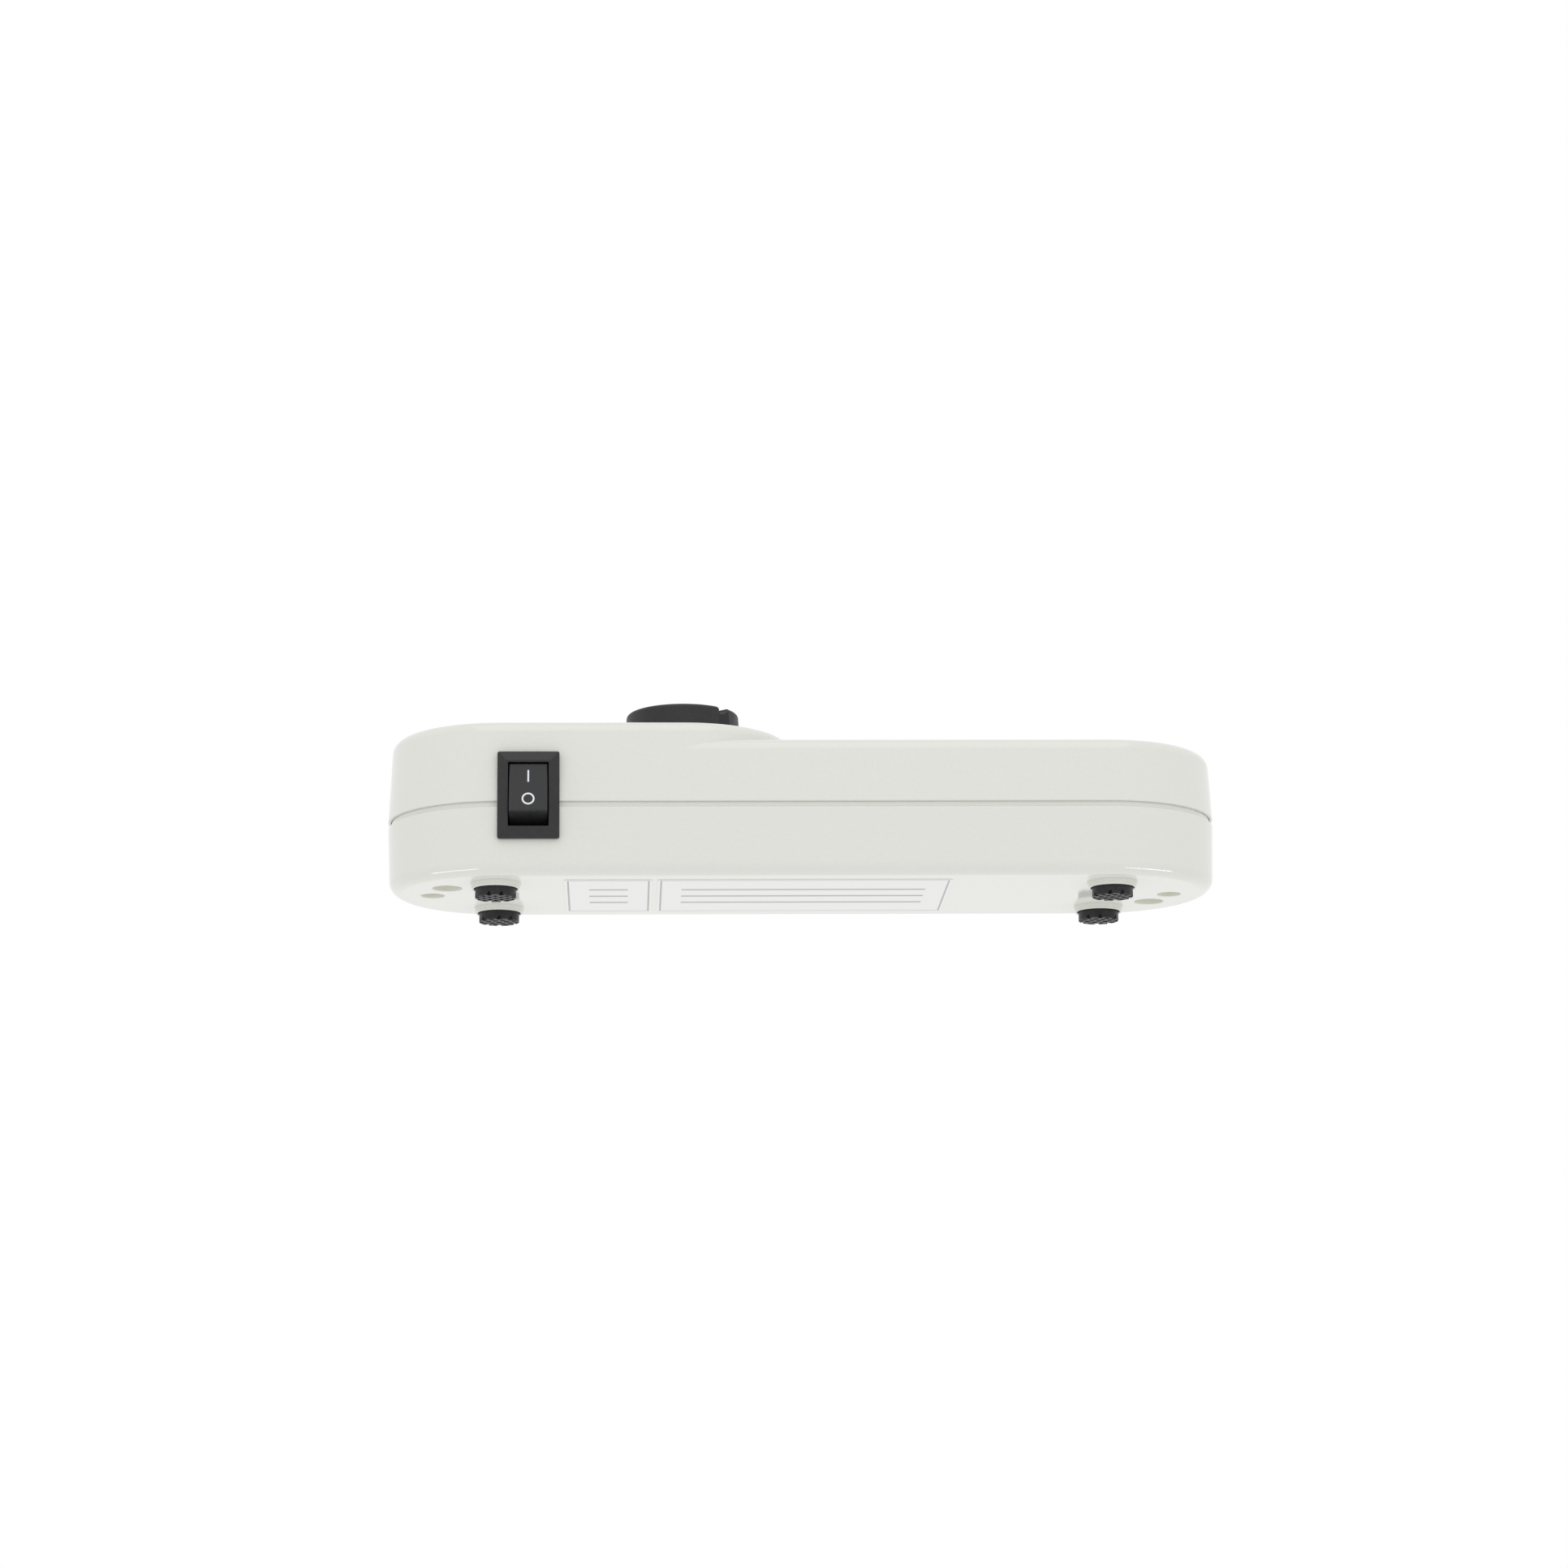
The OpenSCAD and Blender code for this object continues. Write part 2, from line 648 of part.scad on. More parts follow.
module lower_shell() {
    color(SHELL)
    difference() {
        union() {
            difference() {
                union() {
                    translate([0, 0, lower_top_z])
                        mirror([0, 0, 1])
                            stadium_body(body_r, lower_h, bottom_fillet, lower_draft);
                    translate([0, 0, lower_top_z - join])
                        linear_extrude(join + groove_h + tongue_lap)
                            stadium_plan(body_r - groove_depth);
                }
                translate([0, 0, lower_top_z])
                    mirror([0, 0, 1])
                        stadium_body(body_r - wall, lower_h - wall, bottom_fillet - wall, lower_draft);
                translate([0, 0, lower_top_z])
                    linear_extrude(groove_h + tongue_lap + past)
                        stadium_plan(body_r - wall);
                wall_openings();
            }
            for (f = FEET)
                translate([f[0], f[1], collar_z]) {
                    cylinder(d = collar_d, h = floor_z - collar_z);
                    translate([0, 0, stand_h - collar_z - collar_step_h])
                        cylinder(d = collar_d + 2 * collar_step, h = collar_step_h + join);
                }
            for (p = CASE_SCREWS) screw_tower(p, case_well_d, case_seat_z);
            for (p = END_SCREWS) screw_tower(p, end_well_d, end_seat_z);
            for (p = BOARD_SCREWS)
                translate([p[0], p[1], floor_z - join])
                    cylinder(d = stand_d, h = board_z - floor_z + join);
        }
        for (f = FEET)
            translate([f[0], f[1], collar_z - past])
                cylinder(d = recess_d, h = pad_h - collar_z + past);
        for (p = CASE_SCREWS) screw_well(p, case_well_d, case_shank_d, case_seat_z);
        for (p = END_SCREWS) screw_well(p, end_well_d, end_shank_d, end_seat_z);
        for (p = BOARD_SCREWS)
            translate([p[0], p[1], board_z - board_shank_l])
                cylinder(d = board_shank_d + 2 * shank_gap, h = board_shank_l + past);
    }
}

// Rubber pad with a diagonal lattice of ridges on its resting face
module foot(place) {
    pit = ridge_pitch - ridge_w;
    count = ceil(pad_d / ridge_pitch / 2);
    color(RUBBER)
    translate([place[0], place[1], 0])
        difference() {
            cylinder(d = pad_d, h = pad_h);
            rotate([0, 0, 45])
                for (i = [-count:count], j = [-count:count])
                    if (norm([i, j]) * ridge_pitch < pad_d / 2)
                        translate([i * ridge_pitch - pit / 2, j * ridge_pitch - pit / 2, -past])
                            cube([pit, pit, past + pit_depth]);
        }
}

module foot_front_left() foot(FEET[0]);
module foot_front_right() foot(FEET[1]);
module foot_rear_left() foot(FEET[2]);
module foot_rear_right() foot(FEET[3]);

module label(x, length) {
    color(PAPER)
    translate([x - length / 2, -rating_d / 2, stand_h - label_t])
        cube([length, rating_d, label_t]);
}

module rating_label() label(0, rating_l);
module batch_label() label(-rating_l / 2 - label_gap - batch_l / 2, batch_l);

// Pan-head screw that points up, with its head's bearing face at the given height
module screw_up(place, head_d, head_h, shank_d, shank_l, seat) {
    translate([place[0], place[1], seat])
        difference() {
            union() {
                translate([0, 0, -head_h]) cylinder(d = head_d, h = head_h);
                cylinder(d = shank_d, h = shank_l);
            }
            for (turn = [0, 90])
                rotate([0, 0, turn])
                    translate([-head_d / 3, -recess_w / 2, -head_h - past])
                        cube([head_d * 2 / 3, recess_w, past + head_h / 2]);
        }
}

module case_screws() {
    color(STEEL)
    for (p = CASE_SCREWS)
        screw_up(p, case_head_d, case_head_h, case_shank_d, case_shank_l, case_seat_z);
}

module end_screws() {
    color(STEEL)
    for (p = END_SCREWS)
        screw_up(p, end_head_d, end_head_h, end_shank_d, end_shank_l, end_seat_z);
}

module gain_knob() {
    rim_r = knob_d / 2;
    color(DARK)
    translate([raised_x, 0, knob_z])
        difference() {
            rotate_extrude()
                wall_section(rim_r, knob_h, knob_fillet, knob_draft);
            translate([0, 0, -past])
                cylinder(d = knob_hollow_d, h = knob_hollow_h + past);
            cylinder(d = shaft_d + 2 * hub_bore_gap, h = knob_hollow_h + shaft_grip + hub_bore_end);
            rotate([0, 0, pointer_angle - 90]) {
                translate([rim_r - scoop_l, 0, knob_h + scoop_r - scoop_depth]) {
                    sphere(scoop_r);
                    rotate([0, 90, 0]) cylinder(r = scoop_r, h = scoop_l + past);
                }
                translate([rim_r + scoop_r - flute_depth, 0, -past])
                    cylinder(r = scoop_r, h = knob_h + 2 * past);
            }
        }
}

module pot_case() {
    color(STEEL)
    translate([raised_x, 0, 0])
        difference() {
            union() {
                translate([0, 0, wafer_top_z]) cylinder(d = pot_d, h = pot_can_h);
                translate([0, 0, pot_top_z - join]) cylinder(d = bush_d, h = bush_h + join);
            }
            translate([0, 0, wafer_top_z - past]) cylinder(d = cavity_d, h = cavity_h + past);
            translate([0, 0, wafer_top_z]) cylinder(d = shaft_bore_d, h = pot_can_h + bush_h + past);
        }
}

module pot_shaft() {
    color(NICKEL)
    translate([raised_x, 0, shaft_z])
        cylinder(d = shaft_d, h = shaft_top_z - shaft_z);
}

module pot_wiper() {
    color(BRASS)
    translate([raised_x, 0, wiper_z]) {
        cylinder(d = wiper_d, h = wiper_t);
        rotate([0, 0, pointer_angle - 90])
            translate([wiper_d / 2 - finger_d, 0, wafer_top_z + finger_gap - wiper_z])
                cylinder(d = finger_d, h = wiper_z - wafer_top_z);
    }
}

module pot_wafer() {
    tongue_w = 2 * pot_pin_pitch + pot_pin_w + 2 * tongue_margin;
    color(PHENOLIC)
    translate([raised_x, 0, wafer_z])
        union() {
            cylinder(d = pot_d, h = pot_wafer_t);
            translate([-tongue_w / 2, pot_pin_y - tongue_margin, 0])
                cube([tongue_w, -pot_pin_y + tongue_margin, pot_wafer_t]);
        }
}

module pot_pins() {
    color(NICKEL)
    for (i = [-1:1])
        translate([raised_x + i * pot_pin_pitch, pot_pin_y, wafer_z - pot_pin_l])
            translate([-pot_pin_w / 2, -pot_pin_t / 2, 0])
                cube([pot_pin_w, pot_pin_t, pot_pin_l]);
}

module pot_washer() {
    color(STEEL)
    translate([raised_x, 0, deck_z])
        difference() {
            cylinder(d = washer_d, h = washer_t);
            translate([0, 0, -past]) cylinder(d = bush_d + 2 * washer_gap, h = washer_t + 2 * past);
        }
}

module pot_nut() {
    color(BRASS)
    translate([raised_x, 0, deck_z + washer_t])
        difference() {
            cylinder(d = nut_af / cos(30), h = nut_h, $fn = 6);
            translate([0, 0, -past]) cylinder(d = bush_d + 2 * thread_gap, h = nut_h + 2 * past);
        }
}

// Mitred bezel: two trapezoid bars along X and Z that cut each other
module bezel_body() {
    inner_w = opening_w + 1;
    inner_h = opening_h + 1;
    intersection() {
        translate([0, bezel_back_y, -bezel_h / 2])
            linear_extrude(bezel_h)
                polygon([[-bezel_w / 2, 0], [-bezel_w / 2, -bezel_edge], [-inner_w / 2, -bezel_proud],
                         [inner_w / 2, -bezel_proud], [bezel_w / 2, -bezel_edge], [bezel_w / 2, 0]]);
        translate([-bezel_w / 2, bezel_back_y, 0])
            rotate([90, 0, 90])
                linear_extrude(bezel_w)
                    polygon([[0, -bezel_h / 2], [0, bezel_h / 2], [-bezel_edge, bezel_h / 2],
                             [-bezel_proud, inner_h / 2], [-bezel_proud, -inner_h / 2],
                             [-bezel_edge, -bezel_h / 2]]);
    }
}

module switch_frame() {
    color(BLACK)
    translate([switch_x, 0, switch_z])
        difference() {
            union() {
                bezel_body();
                translate([-housing_w / 2, bezel_back_y - join, -housing_h / 2])
                    cube([housing_w, housing_back_y - bezel_back_y + join, housing_h]);
                for (side = [0, 1])
                    mirror([side, 0, 0]) switch_snap();
            }
            translate([-opening_w / 2, bezel_back_y - bezel_proud - past, -opening_h / 2])
                cube([opening_w, inner_floor_y - bezel_back_y + bezel_proud + past, opening_h]);
            along_x(0, pivot_y, 0, trunnion_d + 2 * trunnion_gap, housing_w + 2 * past);
            for (z = TAB_Z)
                translate([-tab_slot_w / 2, inner_floor_y - past, z - switch_z - tab_slot_h / 2])
                    cube([tab_slot_w, housing_floor_t + 2 * past, tab_slot_h]);
        }
}

// Wedge that holds the housing behind the wall
module switch_snap() {
    half_h = housing_h / 4;
    wall_lean = (switch_z + half_h - upper_z) * tan(upper_draft);
    start_y = -body_r + wall + wall_lean + housing_gap;
    translate([0, 0, -half_h])
        linear_extrude(2 * half_h)
            polygon([[housing_w / 2 - join, start_y], [housing_w / 2 + snap_out, start_y],
                     [housing_w / 2, start_y + snap_l], [housing_w / 2 - join, start_y + snap_l]]);
}

// Places children in the rocker's own frame: X along the pivot, -Y out of the face, Z up along it
module at_rocker() {
    translate([switch_x, pivot_y, switch_z])
        rotate([-rocker_tilt, 0, 0])
            children();
}

module switch_rocker() {
    color(BLACK)
    at_rocker()
        difference() {
            union() {
                translate([-rocker_w / 2, 0, 0])
                    rotate([90, 0, 90])
                        linear_extrude(rocker_w)
                            polygon([[-face_out, -rocker_face / 2], [-face_out, rocker_face / 2],
                                     [-skirt_out, rocker_reach / 2], [-skirt_out, -rocker_reach / 2]]);
                along_x(0, 0, 0, hub_d, rocker_w);
                along_x(0, 0, 0, trunnion_d, opening_w + 2 * trunnion_l);
                along_y(0, 0, stem_d, 0, stem_reach);
            }
            along_y(0, 0, plunger_d + 2 * plunger_gap, spring_start - plunger_gap, stem_reach + past);
        }
}

module rocker_marks() {
    color(PRINT)
    at_rocker() {
        translate([-stroke / 2, -face_out - print_t, mark_out - bar_l / 2])
            cube([stroke, print_t, bar_l]);
        difference() {
            along_y(0, -mark_out, ring_d, -face_out - print_t, -face_out);
            along_y(0, -mark_out, ring_d - 2 * stroke, -face_out - print_t - past, -face_out + past);
        }
    }
}

module switch_plunger() {
    tip_r = plunger_d / 2;
    color(BRASS)
    at_rocker()
        union() {
            along_y(0, 0, plunger_d, spring_start + spring_l + plunger_gap, plunger_reach - tip_r);
            translate([0, plunger_reach - tip_r, 0]) sphere(tip_r);
        }
}

// Helical spring: one tube whose ring centres climb along Y
module switch_spring() {
    rings_per_turn = 16;
    sides = 6;
    rings = spring_turns * rings_per_turn;
    coil_r = plunger_d / 2 - spring_wire / 2;
    rise = spring_l - spring_wire;
    wire_r = spring_wire / 2;
    points = [for (k = [0:rings], s = [0:sides - 1])
        let (a = 360 * k / rings_per_turn,
             b = 360 * s / sides,
             r = coil_r + wire_r * cos(b),
             along = spring_start + wire_r + rise * k / rings + wire_r * sin(b))
        [r * cos(a), along, -r * sin(a)]];
    walls = [for (k = [0:rings - 1], s = [0:sides - 1])
        let (i = k * sides, n = (s + 1) % sides)
        each [[i + s, i + n, i + sides + n], [i + s, i + sides + n, i + sides + s]]];
    first = [for (s = [1:sides - 2]) [0, s + 1, s]];
    last = [for (s = [1:sides - 2]) [rings * sides, rings * sides + s, rings * sides + s + 1]];
    color(STEEL)
    at_rocker()
        polyhedron(points, [for (f = concat(walls, first, last)) [f[2], f[1], f[0]]]);
}

// See-saw contact in its saddle, tilted against the rocker
module contact_lever() {
    color(BRASS)
    translate([switch_x, lever_pivot_y, switch_z])
        rotate([lever_tilt, 0, 0])
            union() {
                along_x(0, 0, 0, bead_d, lever_w);
                translate([-lever_w / 2, -lever_rise - lever_t / 2, -lever_l / 2])
                    cube([lever_w, lever_t, lever_l]);
                translate([-lever_w / 2, -lever_rise, -bead_d / 4])
                    cube([lever_w, lever_rise, bead_d / 2]);
                for (side = [-1, 1])
                    along_y(0, side * contact_out, button_d, -lever_rise, -lever_back);
            }
}

module switch_terminals() {
    color(BRASS)
    translate([switch_x, 0, 0]) {
        difference() {
            union() {
                terminal_tab(switch_z);
                translate([-tab_w / 2, lever_pivot_y, switch_z - saddle_h / 2])
                    cube([tab_w, inner_floor_y - lever_pivot_y, saddle_h]);
            }
            along_x(0, lever_pivot_y, switch_z, bead_d + 2 * bead_gap, tab_w + 2 * past);
        }
        union() {
            terminal_tab(switch_z - contact_out);
            along_y(0, switch_z - contact_out, button_d, fixed_top_y, inner_floor_y);
        }
    }
}

module terminal_tab(z) {
    translate([-tab_w / 2, inner_floor_y - join, z - tab_t / 2])
        cube([tab_w, housing_floor_t + tab_l + join, tab_t]);
}

// Round wire along straight runs with ball joints at the bends
module wire(points) {
    union() {
        for (i = [0:len(points) - 2]) {
            run = points[i + 1] - points[i];
            translate(points[i])
                rotate([0, acos(run[2] / norm(run)), atan2(run[1], run[0])])
                    cylinder(d = wire_d, h = norm(run), $fn = 24);
            if (i > 0) translate(points[i]) sphere(d = wire_d, $fn = 24);
        }
    }
}

module switch_wires() {
    tab_end_y = housing_back_y + tab_l + lead_gap;
    pad_x = board_x0 + wire_pad_in;
    color("#b03a34")
    for (i = [0, 1]) {
        bend_y = tab_end_y + wire_start + i * wire_pitch;
        wire([[switch_x, tab_end_y, TAB_Z[i]], [switch_x, bend_y, TAB_Z[i]],
              [pad_x, bend_y, board_top_z + wire_drop], [pad_x, bend_y, board_top_z]]);
    }
}

module pot_wires() {
    color("#3c5fa0")
    for (i = [-1:1])
        wire([[raised_x + i * pot_pin_pitch, pot_pin_y, wafer_z - pot_pin_l - lead_gap],
              [raised_x + i * pot_pin_pitch, pot_pin_y, board_top_z]]);
}

module circuit_board() {
    color(BOARD)
    difference() {
        translate([board_x0, board_y0, board_z])
            cube([board_x1 - board_x0, board_y1 - board_y0, board_t]);
        for (p = BOARD_SCREWS)
            translate([p[0], p[1], board_z - past])
                cylinder(d = board_shank_d + 2 * shank_gap, h = board_t + 2 * past);
    }
}

module board_screws() {
    color(STEEL)
    for (p = BOARD_SCREWS)
        translate([p[0], p[1], board_top_z])
            mirror([0, 0, 1])
                screw_up([0, 0], board_head_d, board_head_h, board_shank_d, board_shank_l, 0);
}

module can_box(grow, z, h) {
    translate([can_x - can_l / 2 - grow, can_y0 - grow, z])
        cube([can_l + 2 * grow, can_d + 2 * grow, h]);
}

module shield_fence() {
    color(STEEL)
    difference() {
        can_box(0, board_top_z, can_h);
        can_box(-can_t, board_top_z - past, can_h + 2 * past);
    }
}

module shield_lid() {
    color(STEEL)
    difference() {
        can_box(lid_gap + can_t, can_top_z - lid_skirt, lid_skirt + can_t);
        can_box(lid_gap, can_top_z - lid_skirt - past, lid_skirt + past);
    }
}

module amplifier_chip() {
    color(BLACK)
    translate([can_x - can_l / 4 - CHIP[0] / 2, can_y0 + can_d / 2 - CHIP[1] / 2, board_top_z])
        cube(CHIP);
}

module splitter_core() {
    core_x = can_x + can_l / 4;
    core_y = can_y0 + can_d / 2;
    color("#5a5a5c")
    difference() {
        translate([core_x - CORE[0] / 2, core_y - CORE[1] / 2, board_top_z]) cube(CORE);
        for (side = [-1, 1])
            along_y(core_x + side * core_hole_out, board_top_z + CORE[2] / 2, core_hole_d,
                    core_y - CORE[1] / 2 - past, core_y + CORE[1] / 2 + past);
    }
}

module capacitors() {
    color("#3b4a6b")
    for (c = CAPACITORS)
        translate([can_x - can_l / 2 - c[2], inlet_y0 - capacitor_back, board_top_z])
            cylinder(d = c[0], h = c[1]);
}

module regulator() {
    y = board_y1 - regulator_back;
    color(BLACK)
    difference() {
        union() {
            translate([regulator_x - REGULATOR[0] / 2, y, board_top_z]) cube(REGULATOR);
            translate([regulator_x - TAB_PLATE[0] / 2, y + REGULATOR[1] - TAB_PLATE[1], board_top_z])
                cube(TAB_PLATE);
        }
        along_y(regulator_x, board_top_z + (REGULATOR[2] + TAB_PLATE[2]) / 2, regulator_hole_d,
                y - past, board_y1);
    }
}

module coaxial_socket(x) {
    color(NICKEL)
    difference() {
        union() {
            translate([x - block_w / 2, block_y0, board_top_z])
                cube([block_w, block_d, block_h]);
            along_y(x, socket_z, barrel_d, block_y1 - join, barrel_end_y);
        }
        along_y(x, socket_z, socket_bore_d, insulator_y0, barrel_end_y + past);
        along_y(x, socket_z, block_back_d, block_y0 - past, insulator_y0 + join);
    }
}

module aerial_socket() coaxial_socket(SOCKET_X[0]);
module tv_socket_1() coaxial_socket(SOCKET_X[1]);
module tv_socket_2() coaxial_socket(SOCKET_X[2]);

module socket_insulators() {
    color(PAPER)
    for (x = SOCKET_X)
        difference() {
            along_y(x, socket_z, socket_bore_d - 2 * insulator_gap, insulator_y0, insulator_y1);
            along_y(x, socket_z, contact_d + 2 * insulator_gap, insulator_y0 - past, insulator_y1 + past);
        }
}

module socket_contacts() {
    color(BRASS)
    for (x = SOCKET_X)
        difference() {
            along_y(x, socket_z, contact_d, insulator_y0 - contact_tail, barrel_end_y - contact_in);
            along_y(x, socket_z, contact_bore_d, insulator_y1, barrel_end_y + past);
        }
}

module power_socket() {
    color(BLACK)
    difference() {
        translate([inlet_x - inlet_w / 2, inlet_y0, board_top_z])
            cube([inlet_w, inlet_l, inlet_h]);
        along_y(inlet_x, inlet_axis_z, inlet_bore_d, inlet_face_y - inlet_depth, inlet_face_y + past);
        along_y(inlet_x, inlet_axis_z, inlet_pin_d + 2 * inlet_pin_gap,
                inlet_face_y - inlet_depth - inlet_pin_root, inlet_face_y);
    }
}

module power_pin() {
    color(NICKEL)
    along_y(inlet_x, inlet_axis_z, inlet_pin_d,
            inlet_face_y - inlet_depth - inlet_pin_root, inlet_face_y - inlet_pin_in);
}

upper_shell();
lower_shell();
foot_front_left();
foot_front_right();
foot_rear_left();
foot_rear_right();
rating_label();
batch_label();
case_screws();
end_screws();
gain_knob();
pot_case();
pot_shaft();
pot_wiper();
pot_wafer();
pot_pins();
pot_washer();
pot_nut();
switch_frame();
switch_rocker();
rocker_marks();
switch_plunger();
switch_spring();
contact_lever();
switch_terminals();
switch_wires();
pot_wires();
circuit_board();
board_screws();
shield_fence();
shield_lid();
amplifier_chip();
splitter_core();
capacitors();
regulator();
aerial_socket();
tv_socket_1();
tv_socket_2();
socket_insulators();
socket_contacts();
power_socket();
power_pin();
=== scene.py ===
"""TV signal amplifier: an off-white two-shell case on rubber feet.

It has a gain knob, a rocker switch and sockets in the rear wall.
"""

import json
import math

import bmesh
import bpy
from bpy.props import FloatProperty, FloatVectorProperty, IntProperty, PointerProperty
from mathutils import Matrix, Vector


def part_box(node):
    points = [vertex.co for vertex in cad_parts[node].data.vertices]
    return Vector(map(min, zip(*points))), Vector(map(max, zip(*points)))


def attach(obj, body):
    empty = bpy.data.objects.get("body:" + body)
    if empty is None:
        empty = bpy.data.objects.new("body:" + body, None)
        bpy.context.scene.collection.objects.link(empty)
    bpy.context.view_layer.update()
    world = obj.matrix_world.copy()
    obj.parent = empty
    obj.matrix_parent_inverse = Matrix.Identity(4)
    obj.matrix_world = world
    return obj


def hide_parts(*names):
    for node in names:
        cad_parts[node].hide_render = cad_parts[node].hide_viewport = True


bl_info = {
    "name": "TV signal amplifier",
    "version": (1, 0, 0),
    "blender": (4, 5, 0),
    "location": "View3D > Sidebar > Amplifier",
    "description": "Models the amplifier's case, controls, feet and sockets round its packed frame",
    "category": "Object",
}

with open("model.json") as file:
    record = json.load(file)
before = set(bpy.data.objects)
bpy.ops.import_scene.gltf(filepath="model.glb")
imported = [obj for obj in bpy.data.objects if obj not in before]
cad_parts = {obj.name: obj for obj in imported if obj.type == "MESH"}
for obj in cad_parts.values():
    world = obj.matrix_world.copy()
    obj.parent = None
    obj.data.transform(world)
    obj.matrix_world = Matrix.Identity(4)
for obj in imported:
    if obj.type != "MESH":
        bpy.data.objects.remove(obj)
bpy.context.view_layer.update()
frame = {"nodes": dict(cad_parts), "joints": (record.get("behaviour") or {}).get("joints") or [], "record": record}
NODES = frame["nodes"]
JOINTS = {joint["name"]: joint for joint in frame["joints"]}
SLOT_OF = {part["node"]: part["material_slot"] for part in frame["record"]["subparts"]}
MM = 0.001
# How far a cutting tool reaches past the surface that it cuts.
PAST = 1 * MM
# How far a point may lie off the line or wall that it is looked for on.
SLACK = 0.03 * MM
# Least part of a normal along an axis for its face to count as facing that way.
FACING = 0.9
# Sides of the round forms: the case and the knob, the printed ring and the screws, the pins, and the bores.
CASE_SIDES, RING_SIDES, PIN_SIDES, BORE_SIDES = 160, 48, 40, 32
# Angle in degrees up to which the shells are smooth.
SHELL_SMOOTH = 14
# Shares of its depth that a shell's joining, inner or hidden part is drawn in to.
JOIN_SHARE, INNER_SHARE, HIDDEN_SHARE = 0.9998, 0.98, 0.9
# How far a hidden part moves along and up.
HIDDEN_MOVE, HIDDEN_LIFT = 4 * MM, 1 * MM
# Sockets of a colour Mix node.
MIX_FACTOR, MIX_A, MIX_B, MIX_RESULT = 0, 6, 7, 2
# Range of the noise that the blotches are spread over.
MOTTLE_LOW, MOTTLE_HIGH = 0.3, 0.7
WHITE = (1, 1, 1, 1)
# Grey of the floor under the light and its own glow, which make white together.
FLOOR_GREY, FLOOR_GLOW = (0.69, 0.69, 0.69, 1), (0.43, 0.43, 0.43, 1)
# Point that the camera faces, the width of its sensor in millimetres, and the range that it sees in metres.
AIM = Vector((-4.232, 0, 31.971)) * MM
SENSOR, NEAREST, FURTHEST = 36, 0.01, 100

LOWER_LOW, LOWER_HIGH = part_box("lower_shell")
UPPER_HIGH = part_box("upper_shell")[1]
KNOB_LOW, KNOB_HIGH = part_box("gain_knob")
FRAME_LOW, FRAME_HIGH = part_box("switch_frame")
INLET_LOW, INLET_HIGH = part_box("power_socket")
FEET = ("foot_front_left", "foot_front_right", "foot_rear_left", "foot_rear_right")
SOCKETS = ("aerial_socket", "tv_socket_1", "tv_socket_2")
# Attribute that marks the walls of the screw wells, where painted light makes them paler and warmer.
WELL_LIGHT_MASK = "painted_well_light"


def linear(code):
    """Linear colour of an sRGB hex value."""
    channels = [int(code[i:i + 2], 16) / 255 for i in (1, 3, 5)]
    return tuple(c / 12.92 if c <= 0.04045 else ((c + 0.055) / 1.055) ** 2.4 for c in channels)


def length_value(name, description, millimetres):
    """A length that the sidebar shows, from its size in millimetres."""
    return FloatProperty(name=name, description=description, default=millimetres * MM,
                         unit="LENGTH", precision=5)


def angle_value(name, description, degrees):
    """An angle that the sidebar shows, from its size in degrees."""
    return FloatProperty(name=name, description=description, default=math.radians(degrees), subtype="ANGLE")


def colour_value(name, description, code):
    """A colour that the sidebar shows, from its sRGB hex value."""
    return FloatVectorProperty(name=name, description=description, default=linear(code),
                               subtype="COLOR", size=3)


def power_value(name, description, watts):
    """A lamp's power that the sidebar shows."""
    return FloatProperty(name=name, description=description, default=watts, unit="POWER")


class CaseSizes(bpy.types.PropertyGroup):
    """Sizes of the two shells."""

    length: length_value("Length", "Length of the case", (LOWER_HIGH.x - LOWER_LOW.x) / MM)
    depth: length_value("Depth", "Depth of the case", (LOWER_HIGH.y - LOWER_LOW.y) / MM)
    underside: length_value("Underside", "Height of the underside above the feet",
                            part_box("rating_label")[1].z / MM)
    lower_edge: length_value("Lower edge", "Height of the lower shell's upper edge", 20.2)
    upper_edge: length_value("Upper edge", "Height of the upper shell's lower edge", 21.55)
    low_deck: length_value("Low deck", "Height of the low deck", 37.5)
    high_deck: length_value("Raised deck", "Height of the raised deck", UPPER_HIGH.z / MM)
    wall: length_value("Wall", "Thickness of the walls", 2.2)
    groove: length_value("Groove", "Depth of the groove between the shells", 0.8)
    tongue: length_value("Tongue", "Height of the tongue's top", LOWER_HIGH.z / MM)
    tongue_gap: length_value("Tongue gap", "Room round the tongue", 0.12)
    lip: length_value("Lip", "Round along the groove's edges", 0.3)
    top_round: length_value("Top round", "Round along the decks' edges", 3.0)
    bottom_round: length_value("Bottom round", "Round along the bottom edge", 3.2)
    upper_draft: angle_value("Upper draft", "Lean of the upper shell's walls", 3.0)
    lower_draft: angle_value("Lower draft", "Lean of the lower shell's walls", 1.7)
    raised_end: length_value("Raised end", "Centre of the raised deck's round end, along X", -29.5)


